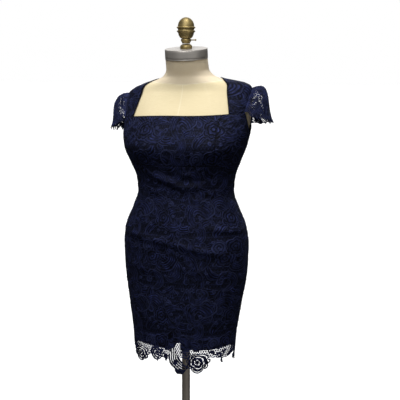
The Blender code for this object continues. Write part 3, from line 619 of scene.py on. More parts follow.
def quads(rows, columns, start=0, flip=False):
    i, j = np.meshgrid(np.arange(rows - 1), np.arange(columns - 1), indexing="ij")
    a = start + i * columns + j
    faces = np.stack([a, a + 1, a + columns + 1, a + columns], axis=-1).reshape(-1, 4)
    return faces[:, ::-1] if flip else faces


def opaque_shell(outer, inner, coarse):
    """Closed wall: a fine outer grid, a coarse inner one and the rim between them."""
    rows, columns = outer.shape[:2]
    keep_rows = sorted(set(range(0, rows, coarse)) | {rows - 1})
    keep_columns = sorted(set(range(0, columns, coarse)) | {columns - 1})
    back = inner[np.ix_(keep_rows, keep_columns)]
    start = rows * columns
    wide = len(keep_columns)
    faces = quads(rows, columns).tolist() + quads(len(keep_rows), wide, start, True).tolist()
    top = len(keep_rows) - 1
    for a, b in zip(range(wide - 1), range(1, wide)):
        first, last = keep_columns[a], keep_columns[b]
        faces.append([start + a, start + b] + list(range(last, first - 1, -1)))
        upper = [(rows - 1) * columns + c for c in range(first, last + 1)]
        faces.append([start + top * wide + b, start + top * wide + a] + upper)
    for a, b in zip(range(top), range(1, top + 1)):
        first, last = keep_rows[a], keep_rows[b]
        faces.append([start + b * wide, start + a * wide] + [r * columns for r in range(first, last + 1)])
        faces.append([start + a * wide + wide - 1, start + b * wide + wide - 1]
                     + [r * columns + columns - 1 for r in range(last, first - 1, -1)])
    index = (np.array(keep_rows)[:, None] * columns + np.array(keep_columns)[None, :]).ravel()
    points = np.concatenate([outer.reshape(-1, 3), back.reshape(-1, 3)])
    return points, faces, index


def edge_distances(points):
    """Millimetres from each grid point to the edges u=0, u=1, v=0, v=1 along the cloth."""
    across = np.linalg.norm(np.diff(points, axis=1), axis=-1)
    up = np.linalg.norm(np.diff(points, axis=0), axis=-1)
    from_left = np.concatenate([np.zeros((len(points), 1)), np.cumsum(across, axis=1)], axis=1)
    from_low = np.concatenate([np.zeros((1, points.shape[1])), np.cumsum(up, axis=0)], axis=0)
    return (from_left / MM, (from_left[:, -1:] - from_left) / MM, from_low / MM,
            (from_low[-1:, :] - from_low) / MM)


def finer_ends(length, ends=(True, True)):
    """Shares from 0 to 1 along a length, closer together near the chosen ends."""
    values = list(np.linspace(0.0, 1.0, cells(length) + 1))
    near = [0.35, 0.9, 1.6, 2.3, 3.0, 3.8]
    if ends[0]:
        values += [d * MM / length for d in near]
    if ends[1]:
        values += [1.0 - d * MM / length for d in near]
    values = sorted(values)
    kept = [values[0]]
    for value in values[1:]:
        if value - kept[-1] > 0.3 * MM / length:
            kept.append(value)
    kept[-1] = 1.0
    return np.array(kept)


INNER_STEP = 6  # the hidden side of a backed panel keeps every sixth grid line


def lace_panel(name, place, us, vs, turned, seams, offset=(0.0, 0.0)):
    """Backed lace panel; place(u, v) gives angle and height, turned and seams weigh its edges."""
    u, v = np.meshgrid(us, vs)
    angle, z = place(u, v)
    base, outward = skin(angle, z)
    x = angle * ACROSS + offset[0]
    y = z / MM + offset[1]
    motif = ALLOVER.sample(ALLOVER.motif, x, y)
    cord = ALLOVER.sample(ALLOVER.cord, x, y)
    rows = ALLOVER.sample(ALLOVER.rows, x, y, nearest=True)
    height = ALLOVER.sample(ALLOVER.relief_field, x, y)
    distances = edge_distances(base)
    plain = np.zeros_like(u)
    dip = np.zeros_like(u)
    nearest = np.full(u.shape, 99.0)
    for distance, fold, seam in zip(distances, turned, seams):
        fold = fold(u, v) if callable(fold) else fold + 0.0 * u
        seam = seam(u, v) if callable(seam) else seam + 0.0 * u
        plain = np.maximum(plain, fold * (1.0 - smooth(distance, 2.2, 3.4)))
        dip = np.maximum(dip, seam * bell(distance, 1.4))
        nearest = np.minimum(nearest, np.where(fold > 0.5, distance, 99.0))
    roll = -0.5 + 1.15 * np.sqrt(np.clip(1.0 - ((nearest - 1.6) / 1.7) ** 2, 0.0, 1.0))
    height = mix(height, roll, plain) - 0.9 * dip
    motif = motif * (1.0 - plain) * (1.0 - 0.8 * dip)
    cord = cord * (1.0 - plain) * (1.0 - 0.8 * dip)
    outer = base + outward * (height * MM)[..., None]
    inner = base - outward * LACE_WALL
    points, faces, index = opaque_shell(outer, inner, INNER_STEP)
    fields = {}
    for label, values in (("motif", motif), ("cord", cord), ("rows", rows), ("plain", plain)):
        flat = values.ravel()
        fields[label] = np.concatenate([flat, flat[index]])
    return put_object(name, points, faces, LACE, fields)


OPEN_LACE_THICKNESS = 1.1  # millimetres


def open_lace(name, surface_at, a, b, to_canvas, canvas):
    """See-through lace: the grid is cut along the threads, then given its thickness.

    a and b are the grid's two parameters; to_canvas holds the canvas millimetres for one unit of each.
    """
    a, b = np.meshgrid(a, b)
    a, b = a.astype(float), b.astype(float)
    scale_a, scale_b = to_canvas

    def look(field, aa, bb, nearest=False):
        return canvas.sample(field, aa * scale_a, bb * scale_b, nearest)

    thread = look(canvas.thread, a, b)
    inside = thread > 0.0
    cell = inside[:-1, :-1] | inside[1:, :-1] | inside[:-1, 1:] | inside[1:, 1:]
    # corners that fall in a hole slide to the thread's edge
    reach = 0.5
    for _ in range(2):
        thread = look(canvas.thread, a, b)
        slope_x = (look(canvas.thread, a + reach / scale_a, b) - look(canvas.thread, a - reach / scale_a, b))
        slope_y = (look(canvas.thread, a, b + reach / scale_b) - look(canvas.thread, a, b - reach / scale_b))
        slope_x, slope_y = slope_x / (2.0 * reach), slope_y / (2.0 * reach)
        steep = np.maximum(slope_x ** 2 + slope_y ** 2, 0.15)
        push = np.where(inside, 0.0, np.clip(-thread, 0.0, 0.7))
        a[1:-1, 1:-1] += (push * slope_x / steep / scale_a)[1:-1, 1:-1]
        b[1:-1, 1:-1] += (push * slope_y / steep / scale_b)[1:-1, 1:-1]
    base, outward = surface_at(a, b)
    height = np.where(inside, look(canvas.relief_field, a, b), -0.3)
    rows, columns = a.shape
    faces = quads(rows, columns)[cell.ravel()]
    used = np.unique(faces)
    number = np.full(rows * columns, -1)
    number[used] = np.arange(len(used))
    faces = number[faces]
    outer = (base + outward * (height * MM)[..., None]).reshape(-1, 3)[used]
    inner = (base + outward * ((0.35 * height - OPEN_LACE_THICKNESS) * MM)[..., None]).reshape(-1, 3)[used]
    count = len(used)
    edges = np.concatenate([faces[:, [k, (k + 1) % 4]] for k in range(4)])
    code = edges[:, 0] * count + edges[:, 1]
    reverse = edges[:, 1] * count + edges[:, 0]
    rim = edges[~np.isin(code, reverse)]
    sides = np.stack([rim[:, 1], rim[:, 0], rim[:, 0] + count, rim[:, 1] + count], axis=-1)
    every = np.concatenate([faces, faces[:, ::-1] + count, sides]).tolist()
    fields = {}
    for label, field, nearest in (("motif", canvas.motif, False), ("cord", canvas.cord, False),
                                  ("rows", canvas.rows, True)):
        flat = look(field, a, b, nearest).ravel()[used]
        if label == "motif":
            flat = np.maximum(flat, 0.75)
        fields[label] = np.concatenate([flat, flat])
    fields["plain"] = np.zeros(2 * count)
    return put_object(name, np.concatenate([outer, inner]), every, LACE, fields, 60.0)


def turned_solid(name, profile, segments, surface, centre=(0.0, 0.0, 0.0), lean=0.0, rounding=2):
    """Solid turned round its own axis; its profile's corners are eased."""
    rows = [np.array(row, float) for row in profile]
    closed = profile[0] == profile[-1]
    for _ in range(rounding):
        eased = [] if closed else [rows[0]]
        for low, high in zip(rows, rows[1:]):
            eased += [mix(low, high, 0.25), mix(low, high, 0.75)]
        eased += [eased[0]] if closed else [rows[-1]]
        rows = eased
    mesh = bpy.data.meshes.new(name)
    work = bmesh.new()
    rings = []
    for radius, height in rows:
        turns = [2.0 * math.pi * k / segments for k in range(segments if radius > 1e-6 else 1)]
        rings.append([work.verts.new((radius * math.cos(t), radius * math.sin(t), height)) for t in turns])
    if closed:
        for vertex in rings.pop():
            work.verts.remove(vertex)
        rings.append(rings[0])
    for low, high in zip(rings, rings[1:]):
        for k in range(segments):
            after = (k + 1) % segments
            corners = [low[k % len(low)], low[after % len(low)], high[after % len(high)], high[k % len(high)]]
            work.faces.new(list(dict.fromkeys(corners)))
    if not closed:
        for ring in (rings[0], rings[-1]):
            if len(ring) > 1:
                work.faces.new(ring)
    bmesh.ops.recalc_face_normals(work, faces=work.faces)
    if work.calc_volume(signed=True) < 0.0:
        bmesh.ops.reverse_faces(work, faces=work.faces)
    work.transform(Matrix.Translation(centre) @ Matrix.Rotation(lean, 4, "X"))
    work.to_mesh(mesh)
    work.free()
    mesh.materials.append(surface)
    mesh.shade_smooth()
    mesh.set_sharp_from_angle(angle=math.radians(38.0))
    return add_object(name, mesh)


# ---------------------------------------------------------------- materials
class Nodes:
    """Short names for building a material's nodes."""

    def __init__(self, name, colour, roughness, metallic=0.0):
        self.made = bpy.data.materials.new(name)
        self.made.use_nodes = True
        self.tree = self.made.node_tree
        self.shader = self.tree.nodes["Principled BSDF"]
        self.shader.inputs["Base Color"].default_value = (*colour, 1.0)
        self.shader.inputs["Roughness"].default_value = roughness
        self.shader.inputs["Metallic"].default_value = metallic
        self.made.diffuse_color = (*colour, 1.0)
        self.place = self.node("ShaderNodeTexCoord").outputs["Object"]

    def node(self, kind, **values):
        made = self.tree.nodes.new(kind)
        for key, value in values.items():
            setattr(made, key, value)
        return made

    def link(self, source, target):
        if isinstance(source, (int, float)):
            target.default_value = source
        elif isinstance(source, tuple):
            target.default_value = (*source, 1.0) if len(target.default_value) == 4 else source
        else:
            self.tree.links.new(source, target)

    def math(self, operation, a, b=0.0, c=0.0):
        made = self.node("ShaderNodeMath", operation=operation)
        for socket, value in zip(made.inputs, (a, b, c)):
            self.link(value, socket)
        return made.outputs[0]

    def attribute(self, label):
        return self.node("ShaderNodeAttribute", attribute_name=label).outputs["Fac"]

    def blend(self, share, a, b):
        made = self.node("ShaderNodeMix", data_type="RGBA")
        self.link(share, made.inputs[0])
        self.link(a, made.inputs[6])
        self.link(b, made.inputs[7])
        return made.outputs[2]

    def noise(self, scale, detail=3.0, stretch=(1.0, 1.0, 1.0), roughness=0.5):
        mapping = self.node("ShaderNodeMapping")
        mapping.inputs["Scale"].default_value = stretch
        self.link(self.place, mapping.inputs["Vector"])
        made = self.node("ShaderNodeTexNoise")
        made.inputs["Scale"].default_value = scale
        made.inputs["Detail"].default_value = detail
        made.inputs["Roughness"].default_value = roughness
        self.link(mapping.outputs[0], made.inputs["Vector"])
        return made.outputs["Fac"]

    def waves(self, scale, axis):
        made = self.node("ShaderNodeTexWave", bands_direction=axis)
        made.inputs["Scale"].default_value = scale
        made.inputs["Distortion"].default_value = 0.6
        made.inputs["Detail"].default_value = 1.0
        self.link(self.place, made.inputs["Vector"])
        return made.outputs["Fac"]

    def between(self, value, low, high):
        made = self.node("ShaderNodeMapRange")
        for socket, number in zip(made.inputs, (value, 0.0, 1.0, low, high)):
            self.link(number, socket)
        return made.outputs[0]

    def colour(self, source):
        self.link(source, self.shader.inputs["Base Color"])

    def rough(self, source):
        self.link(source, self.shader.inputs["Roughness"])

    def bump(self, height, distance, strength=1.0):
        made = self.node("ShaderNodeBump")
        made.inputs["Strength"].default_value = strength
        made.inputs["Distance"].default_value = distance
        self.link(height, made.inputs["Height"])
        self.link(made.outputs[0], self.shader.inputs["Normal"])

    def sheen(self, weight, roughness, tint):
        self.shader.inputs["Sheen Weight"].default_value = weight
        self.shader.inputs["Sheen Roughness"].default_value = roughness
        self.shader.inputs["Sheen Tint"].default_value = (*tint, 1.0)


def lace_material():
    m = Nodes("corded lace", (0.014, 0.016, 0.060), 0.62)
    motif, cord, rows, plain = [m.attribute(x) for x in ("motif", "cord", "rows", "plain")]
    ridge = m.math("MULTIPLY_ADD", m.math("COSINE", m.math("MULTIPLY", rows, 2.0 * math.pi)), 0.5, 0.5)
    ridge = m.math("POWER", ridge, 2.2)
    fine = m.math("COSINE", m.math("MULTIPLY", rows, 8.0 * math.pi))
    patch = m.noise(26.0, 3.0)  # worn brighter here and there
    # painted highlight on the tops of the corded rows and painted shade in the grooves between them
    thread = m.blend(ridge, (0.0010, 0.0013, 0.0046), (0.0360, 0.0470, 0.1600))
    lit = m.blend(m.between(patch, -0.7, 1.0), thread, (0.0120, 0.0155, 0.0520))
    ground = m.blend(m.noise(900.0, 1.0), (0.0008, 0.0009, 0.0024), (0.0018, 0.0021, 0.0052))
    base = m.blend(motif, ground, lit)
    base = m.blend(m.between(m.noise(70.0, 3.0), -0.7, 1.9), base, ground)
    # the raised cords get a lighter colour: a painted highlight along them
    base = m.blend(m.math("MULTIPLY", cord, 0.80), base, (0.0300, 0.0370, 0.0940))
    base = m.blend(m.math("MULTIPLY", plain, 0.92), base, (0.0016, 0.0018, 0.0046))
    m.colour(base)
    m.rough(m.between(m.noise(420.0, 2.0), 0.50, 0.78))
    yarn = m.noise(1500.0, 2.0)
    height = m.math("MULTIPLY_ADD", fine, 0.22, m.math("MULTIPLY", ridge, 0.55))
    height = m.math("MULTIPLY_ADD", cord, 0.9, m.math("MULTIPLY", height, motif))
    height = m.math("MULTIPLY_ADD", yarn, 0.22, height)
    m.bump(height, 0.0006, 0.9)
    m.sheen(0.02, 0.45, (0.42, 0.46, 0.80))
    m.shader.inputs["Specular IOR Level"].default_value = 0.07
    return m.made


def lining_material():
    m = Nodes("dark satin lining", (0.004, 0.0045, 0.014), 0.42)
    weave = m.math("MULTIPLY", m.waves(900.0, "X"), m.waves(900.0, "Z"))
    m.colour(m.blend(m.noise(30.0, 2.0), (0.0028, 0.0031, 0.0100), (0.0062, 0.0068, 0.0200)))
    m.rough(m.between(m.noise(60.0, 2.0), 0.36, 0.55))
    m.bump(weave, 0.0001, 0.5)
    m.sheen(0.15, 0.5, (0.4, 0.45, 0.8))
    return m.made


def linen_material(name, light, dark, neck):
    m = Nodes(name, light, 0.88)
    weave = m.math("ADD", m.waves(480.0, "X"), m.waves(520.0, "Z"))
    slub = m.noise(220.0, 3.0, (0.25, 1.0, 3.0))
    tone = m.blend(m.between(slub, -0.3, 1.3), light, dark)
    tone = m.blend(m.between(m.noise(9.0, 3.0), -0.5, 0.9), tone, dark)
    # the neck is the same cream cloth as the chest; its own tone is set to how the light falls on it: painted
    # light and shade
    tone = m.blend(m.attribute("neck"), tone, neck)
    m.colour(m.blend(m.math("MULTIPLY", m.attribute("seam"), 0.45), tone, (0.95, 0.88, 0.70)))
    m.rough(m.between(slub, 0.78, 0.95))
    m.bump(m.math("MULTIPLY_ADD", slub, 0.6, weave), 0.00018, 0.6)
    m.sheen(0.12, 0.5, (1.0, 0.95, 0.85))
    return m.made


def metal_material(name, light, dark, rough, metallic, scale, stretch, bump):
    m = Nodes(name, light, rough[0], metallic)
    grain = m.noise(scale, 4.0, stretch, 0.6)
    m.colour(m.blend(m.between(grain, -0.4, 1.4), light, dark))
    m.rough(m.between(m.noise(scale * 0.6, 3.0, stretch), *rough))
    m.bump(grain, bump, 0.5)
    return m.made


def brass_material():
    m = Nodes("antique brass", (0.40, 0.31, 0.12), 0.4, 0.6)
    patina = m.noise(55.0, 5.0, roughness=0.65)
    spots = m.between(patina, -1.1, 2.1)
    m.colour(m.blend(spots, (0.40, 0.30, 0.115), (0.15, 0.112, 0.044)))
    m.rough(m.between(patina, 0.26, 0.62))
    m.bump(m.noise(340.0, 3.0), 0.00012, 0.5)
    return m.made


LACE = lace_material()
LINING = lining_material()
# the last tone is the neck's: painted light and shade on the same cream cloth
LINEN = linen_material("cream linen", (0.84, 0.73, 0.48), (0.76, 0.64, 0.39), (0.80, 0.68, 0.49))
# the arm plates' cloth is set paler than the cover's to make up for the sleeves' shade over them: painted
# light
PLATE = linen_material("arm plate linen paled against shade", (0.90, 0.76, 0.56), (0.80, 0.66, 0.47), (0.72, 0.60, 0.41))
ALUMINIUM = metal_material("brushed aluminium", (0.55, 0.515, 0.475), (0.37, 0.345, 0.315), (0.30, 0.48), 0.6,
                           60.0, (0.6, 0.6, 30.0), 0.00008)
BRASS = brass_material()
BASE_PAINT = metal_material("black base paint", (0.024, 0.023, 0.022), (0.014, 0.013, 0.013), (0.42, 0.60),
                            0.0, 260.0, (1.0, 1.0, 1.0), 0.00015)
FITTING = metal_material("black fitting", (0.020, 0.019, 0.018), (0.010, 0.010, 0.010), (0.36, 0.55),
                         0.0, 300.0, (1.0, 1.0, 1.0), 0.00010)
# the tube's colour is set light to make up for the dress's shade over the pole: painted light
TUBE = metal_material("bronzed tube", (0.58, 0.51, 0.43), (0.38, 0.33, 0.27), (0.36, 0.52), 0.25,
                      90.0, (1.0, 1.0, 0.04), 0.00006)
ZIP_METAL = metal_material("dark zip metal", (0.050, 0.052, 0.075), (0.022, 0.023, 0.035), (0.26, 0.42),
                           0.7, 500.0, (1.0, 1.0, 1.0), 0.00004)

# ---------------------------------------------------------------- the lace
ALLOVER = allover_lace()
BORDER = border_lace(ALLOVER)
SLEEVE = sleeve_lace()
for stretch_of_lace in (ALLOVER, BORDER, SLEEVE):
    stretch_of_lace.relief_field = stretch_of_lace.relief()

CELL = 0.0021
OPEN_CELL = 0.00095


# ---------------------------------------------------------------- bodice
def princess_angle(z):
    return curve_through(PRINCESS_SEAM[:, 1], PRINCESS_SEAM[:, 0])(z)


def front_armhole_z(angle):
    return curve_through(FRONT_ARMHOLE[:, 0], FRONT_ARMHOLE[:, 1])(angle)


def cells(length, size=None):
    return max(4, int(round(length / (size or CELL))))


def bodice_front():
    def place(u, v):
        z = mix(EMPIRE_Z, NECKLINE_Z, v)
        half = princess_angle(z)
        return mix(-half, half, u), z

    height = NECKLINE_Z - EMPIRE_Z
    panel = lace_panel("bodice_front_lace", place, finer_ends(0.25),
                       finer_ends(height),
                       (0.0, 0.0, 0.0, 1.0), (1.0, 1.0, 0.8, 0.0), offset=(60.0, 35.0))
    settle(panel, ["bodice_front"])


def bodice_side_fronts():
    neck_edge, arm_edge = STRAP_NECK_EDGE[0, 0], STRAP_ARM_EDGE[0, 0]
    for side, tag in ((1.0, "left"), (-1.0, "right")):

        def place(u, v, side=side):
            low = princess_angle(mix(EMPIRE_Z, NECKLINE_Z, v))
            angle = np.where(u < 0.5, mix(low, arm_edge, u / 0.5), mix(arm_edge, 90.0, (u - 0.5) / 0.5))
            return side * angle, mix(EMPIRE_Z, front_armhole_z(angle), v)

        def top_turned(u, v):
            angle = np.abs(place(u, v)[0])
            return np.where((angle < neck_edge) | (angle > arm_edge), 1.0, 0.0)

        def top_seam(u, v):
            return 1.0 - top_turned(u, v)

        panel = lace_panel("bodice_side_front_%s_lace" % tag, place,
                           finer_ends(0.10),
                           finer_ends(0.13),
                           (0.0, 0.0, 0.0, top_turned), (1.0, 1.0, 0.8, top_seam), offset=(60.0, 35.0))
        settle(panel, ["bodice_side_front_%s" % tag])


def bodice_backs():
    below, arm = 0.36, 0.86  # shares of the outer edge up to the armhole's foot and its top
    for side, tag in ((1.0, "left"), (-1.0, "right")):

        def place(u, v, side=side):
            arm_angle, arm_z = along_edge(BACK_ARM_EDGE, np.clip((v - below) / (arm - below), 0.0, 1.0))
            over = np.clip((v - arm) / (1.0 - arm), 0.0, 1.0)
            angle = np.where(v < below, 90.0, np.where(v < arm, arm_angle, SHOULDER_SEAM_ANGLE))
            z = np.where(v < below, mix(EMPIRE_Z, ARMHOLE_Z, v / below),
                         np.where(v < arm, arm_z, mix(BACK_ARM_EDGE[-1, 1], STRAP_NECK_EDGE[-1, 1], over)))
            centre_z = mix(EMPIRE_Z, BACK_NECK_Z, v)
            end = 180.0 - np.degrees(ZIP_OPENING_HALF / BACK(centre_z))
            return side * mix(angle, end, u), mix(z, centre_z, u ** 0.8)

        def arm_turned(u, v):
            return np.where((v > below) & (v < arm), 1.0, 0.0) + 0.0 * u

        def side_seam(u, v):
            return 1.0 - arm_turned(u, v)

        rows = finer_ends(0.245)
        for corner in (below, arm):
            rows[np.argmin(np.abs(rows - corner))] = corner
        panel = lace_panel("bodice_back_%s_lace" % tag, place, finer_ends(0.15),
                           rows, (arm_turned, 0.0, 0.0, 1.0), (side_seam, 1.0, 0.8, 0.0),
                           offset=(20.0, 0.0))
        settle(panel, ["bodice_back_%s" % tag])


def shoulder_straps():
    for side, tag in ((1.0, "left"), (-1.0, "right")):

        def place(u, v, side=side):
            neck_angle, neck_z = along_edge(STRAP_NECK_EDGE, v)
            arm_angle, arm_z = along_edge(STRAP_ARM_EDGE, v)
            angle = mix(neck_angle, arm_angle, u)
            z = mix(neck_z, arm_z, u)
            angle = np.minimum(angle, SHOULDER_SEAM_ANGLE)
            return side * angle, np.maximum(z, NECKLINE_Z)

        panel = lace_panel("shoulder_strap_%s_lace" % tag, place,
                           finer_ends(0.06),
                           finer_ends(0.15),
                           (1.0, 0.0, 0.0, 0.0), (0.0, 0.9, 1.0, 1.0), offset=(25.0, 80.0))
        settle(panel, ["shoulder_strap_%s" % tag])


# ---------------------------------------------------------------- cap sleeves
def armhole_seam(s):
    over = 0.55
    front = along_edge(STRAP_ARM_EDGE, np.clip(s / over, 0.0, 1.0))
    back = along_edge(BACK_ARM_EDGE, mix(1.0, 0.26, np.clip((s - over) / (1.0 - over), 0.0, 1.0)))
    return np.where(s < over, front[0], back[0]), np.where(s < over, front[1], back[1])


def sleeve_point(s, t):
    angle, z = armhole_seam(s)
    seam = skin(angle, z, 0.5 * LACE_WALL - 0.0021 * smooth(t, 0.0, 0.06))[0]
    edge = np.stack([curve_through(SLEEVE_EDGE[:, 0], SLEEVE_EDGE[:, k])(s) for k in (1, 2, 3)], axis=-1)
    reach = edge - seam
    wide = np.abs(reach[..., 0])
    head = 0.019 * np.sin(math.pi * s)
    out_handle = seam + np.stack([1.00 * wide, 0.25 * reach[..., 1], head], axis=-1)
    low_handle = edge + np.stack([-0.34 * wide, -0.10 * reach[..., 1], -0.48 * reach[..., 2]], axis=-1)
    t = t[..., None]
    a = mix(seam, out_handle, t)
    b = mix(out_handle, low_handle, t)
    c = mix(low_handle, edge, t)
    return mix(mix(a, b, t), mix(b, c, t), t)


RIGHT_SLEEVE_TUCK = 0.013   # the right sleeve hangs this much closer to the body


def cap_sleeves():
    step = 0.002
    for side, tag in ((1.0, "left"), (-1.0, "right")):

        def surface_at(s, t, side=side):
            s_in = np.clip(s, step, 1.0 - step)
            t_in = np.clip(t, step, 1.0 - step)
            around = sleeve_point(s_in + step, t_in) - sleeve_point(s_in - step, t_in)
            across = sleeve_point(s_in, t_in + step) - sleeve_point(s_in, t_in - step)
            outward = unit(np.cross(across, around))
            points = sleeve_point(s_in, t_in) + around / (2.0 * step) * (s - s_in)[..., None]
            points = points + across / (2.0 * step) * (t - t_in)[..., None] + outward * 0.5 * LACE_WALL
            # the leafy edge lifts and dips unevenly
            wave = 0.0016 * np.sin(s * 31.0) * smooth(t, 0.5, 1.0)
            points = points + outward * wave[..., None]
            if side < 0.0:
                points[..., 0] -= RIGHT_SLEEVE_TUCK * smooth(t, 0.2, 1.0)
            mirror = np.array([side, 1.0, 1.0])
            return points * mirror, outward * mirror

        around = np.linspace(0.0, 1.0, cells(0.25, OPEN_CELL) + 1)
        across = np.linspace(0.0, 1.02, cells(0.078, OPEN_CELL) + 1)
        if side < 0.0:
            around = around[::-1]
        made = open_lace("cap_sleeve_%s_lace" % tag, surface_at, around, across[::-1],
                         (SLEEVE_AROUND, SLEEVE_ACROSS), SLEEVE)
        settle(made, ["cap_sleeve_%s" % tag])


# ---------------------------------------------------------------- skirt, border and lining
def skirt_panels():
    for name, start, end in (("skirt_front", -90.0, 90.0), ("skirt_back_left", 90.0, 180.0),
                             ("skirt_back_right", 180.0, 270.0)):

        def place(u, v, start=start, end=end):
            z = mix(BORDER_TOP_Z, EMPIRE_Z, v)
            opening = np.where(z > ZIP_FOOT_Z, np.degrees(ZIP_OPENING_HALF / BACK(z)), 0.0)
            first = start + (opening if start == 180.0 else 0.0)
            last = end - (opening if end == 180.0 else 0.0)
            return mix(first, last, u), z

        height = EMPIRE_Z - BORDER_TOP_Z
        wide = 0.50 if name == "skirt_front" else 0.26
        panel = lace_panel(name + "_lace", place, finer_ends(wide),
                           finer_ends(height, (False, True)),
                           (0.0, 0.0, 0.0, 0.0), (0.9, 0.9, 0.0, 0.8))
        settle(panel, [name])

        angles = np.linspace(start, end, cells(math.radians(end - start) * 0.136, OPEN_CELL) + 1)
        levels = np.linspace(BORDER_FOOT_Z, BORDER_TOP_Z, cells(BORDER_TOP_Z - BORDER_FOOT_Z, OPEN_CELL) + 1)
        border = open_lace(name + "_border", skin, angles, levels,
                           (BORDER_ACROSS, 1.0 / MM), BORDER)
        settle(border)


def skirt_lining():
    for name, start, end in (("skirt_lining_front", -90.0, 90.0), ("skirt_lining_back", 90.0, 270.0)):
        u, v = np.meshgrid(np.linspace(0.0, 1.0, 91), np.linspace(0.0, 1.0, 81) ** 1.3)
        z = mix(LINING_HEM_Z, EMPIRE_Z - LINING_TOP_DROP, v)
        angle = mix(start, end, u)
        notch = np.clip(1.0 - np.abs(angle - LINING_NOTCH_ANGLE) / LINING_NOTCH_SPREAD, 0.0, 1.0)
        wave = 0.0015 * np.sin(np.radians(angle) * 6.0)
        low = smooth(0.075 - (z - LINING_HEM_Z), 0.0, 0.075)
        z = z + (LINING_NOTCH_RISE * notch + wave) * low
        hem = np.exp(-((z - LINING_HEM_Z - LINING_NOTCH_RISE * notch - 0.012) / 0.0012) ** 2)
        base, outward = skin(angle, z, LINING_DEPTH, False)
        outer = base + outward * (-0.0002 * hem)[..., None]
        inner = base - outward * LINING_WALL
        points, faces, index = opaque_shell(outer, inner, 2)
        made = put_object(name + "_cloth", points, faces, LINING)
        settle(made, [name])


# ---------------------------------------------------------------- back zip
def back_zip():
    half = 0.011
    u, v = np.meshgrid(np.linspace(0.0, 1.0, 9), np.linspace(0.0, 1.0, 161))
    z = mix(ZIP_FOOT_Z, BACK_NECK_Z - 0.006, v)
    angle = 180.0 + mix(-1.0, 1.0, u) * np.degrees(half / BACK(z))
    inside = LACE_WALL + 2.5 * SEAM_GAP
    in_skirt = LINING_DEPTH + LINING_WALL + 4.0 * SEAM_GAP
    into = mix(in_skirt, inside, np.clip((z - EMPIRE_Z) / 0.020, 0.0, 1.0))
    outer, outward = skin(angle, z, into, False)
    inner = outer - outward * ZIP_TAPE_WALL
    points, faces, _ = opaque_shell(outer, inner, 2)
    tape = put_object("zip_tape_woven", points, faces, LINING)
    settle(tape, ["zip_tape"])

    # small teeth from alternate sides meet on the centre line
    mesh = bpy.data.meshes.new("zip_teeth")
    work = bmesh.new()
    pitch = 0.0016
    count = int((BACK_NECK_Z - 0.010 - ZIP_FOOT_Z) / pitch)
    for k in range(count):
        level = ZIP_FOOT_Z + 0.004 + k * pitch
        spot, out = skin(180.0, level, 0.0004, False)
        side = 1.0 if k % 2 else -1.0
        for vertex in bmesh.ops.create_cube(work, size=1.0)["verts"]:
            taper = 0.7 if vertex.co.y > 0.0 else 1.0
            x = vertex.co.x * 0.0019 + side * 0.00028
            y = vertex.co.y * 0.0013
            height = vertex.co.z * 0.0009 * taper
            vertex.co = Vector(spot) + Vector((x, 0.0, 0.0)) + Vector(out) * y + Vector((0.0, 0.0, height))
    work.to_mesh(mesh)
    work.free()
    mesh.materials.append(ZIP_METAL)
    settle(add_object("zip_teeth", mesh))


# ---------------------------------------------------------------- dress form
def form_cover():
    rounding = [(0.0, 0.016), (0.0015, 0.011), (0.004, 0.007), (0.007, 0.0035), (0.012, 0.001)]
    levels = [FORM_BOTTOM_Z + rise for rise, _ in rounding]
    insets = [inset for _, inset in rounding]
    more = np.concatenate([np.arange(0.822, 1.210, 0.012), np.arange(1.210, 1.462, 0.0028), [NECK_TOP_Z]])
    levels = np.concatenate([levels, more])
    insets = np.concatenate([insets, np.zeros(len(more))])
    columns = 216
    angle, z = np.meshgrid(np.arange(columns) * 360.0 / columns, levels)
    inset = np.repeat(insets[:, None], columns, axis=1)
    turned = (angle + 180.0) % 360.0 - 180.0
    # the seam at the foot of the neck dips at the front, and one runs down each side of centre
    neck_seam = 1.402 - 0.010 * np.cos(np.radians(angle)) + 0.004 * np.sin(np.radians(angle)) ** 2
    seam = bell(z - neck_seam, 0.0011)
    below_neck = z < neck_seam
    for line in (0.0, 180.0):
        away = ((angle - line + 180.0) % 360.0 - 180.0) * np.radians(FRONT(z))
        seam = np.maximum(seam, 0.8 * bell(away, 0.0010) * below_neck)
    for line in (-46.0, 46.0):
        away = (turned - line) * np.radians(FRONT(z))
        seam = np.maximum(seam, 0.3 * bell(away, 0.0010) * below_neck)
    base, outward = skin(angle, z, EASE(z) + inset, False)
    points = base - outward * (0.0005 * seam)[..., None]
    flat_rows = np.zeros(len(levels), bool)
    flat_rows[:len(rounding)] = True
    flat_rows[-1] = True
    points[flat_rows, :, 2] = z[flat_rows]
    lean = math.tan(NECK_CAP_LEAN) * np.clip((z - NECK_TURN_Z) / (NECK_TOP_Z - NECK_TURN_Z), 0.0, 1.0)
    points[..., 2] += lean * (points[..., 1] - CENTRE_Y(z))
    rows = len(levels)
    index = np.arange(rows * columns).reshape(rows, columns)
    wrapped = np.concatenate([index, index[:, :1]], axis=1)
    a, b = wrapped[:-1, :-1], wrapped[:-1, 1:]
    c, d = wrapped[1:, 1:], wrapped[1:, :-1]
    faces = np.stack([a, b, c, d], axis=-1).reshape(-1, 4).tolist()
    faces.append(index[0, ::-1].tolist())
    faces.append(index[-1].tolist())
    # share of the surface that takes the neck's tone of painted light and shade
    neck = smooth(z - neck_seam, -0.001, 0.001)
    made = put_object("form_cover", points, faces, LINEN, {"neck": neck, "seam": seam}, 40.0)
    settle(made, ["form_torso"])


def paint(node, surface):
    """A CAD node that stays gets its finish."""
    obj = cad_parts[node]
    obj.data.materials.clear()
    obj.data.materials.append(surface)


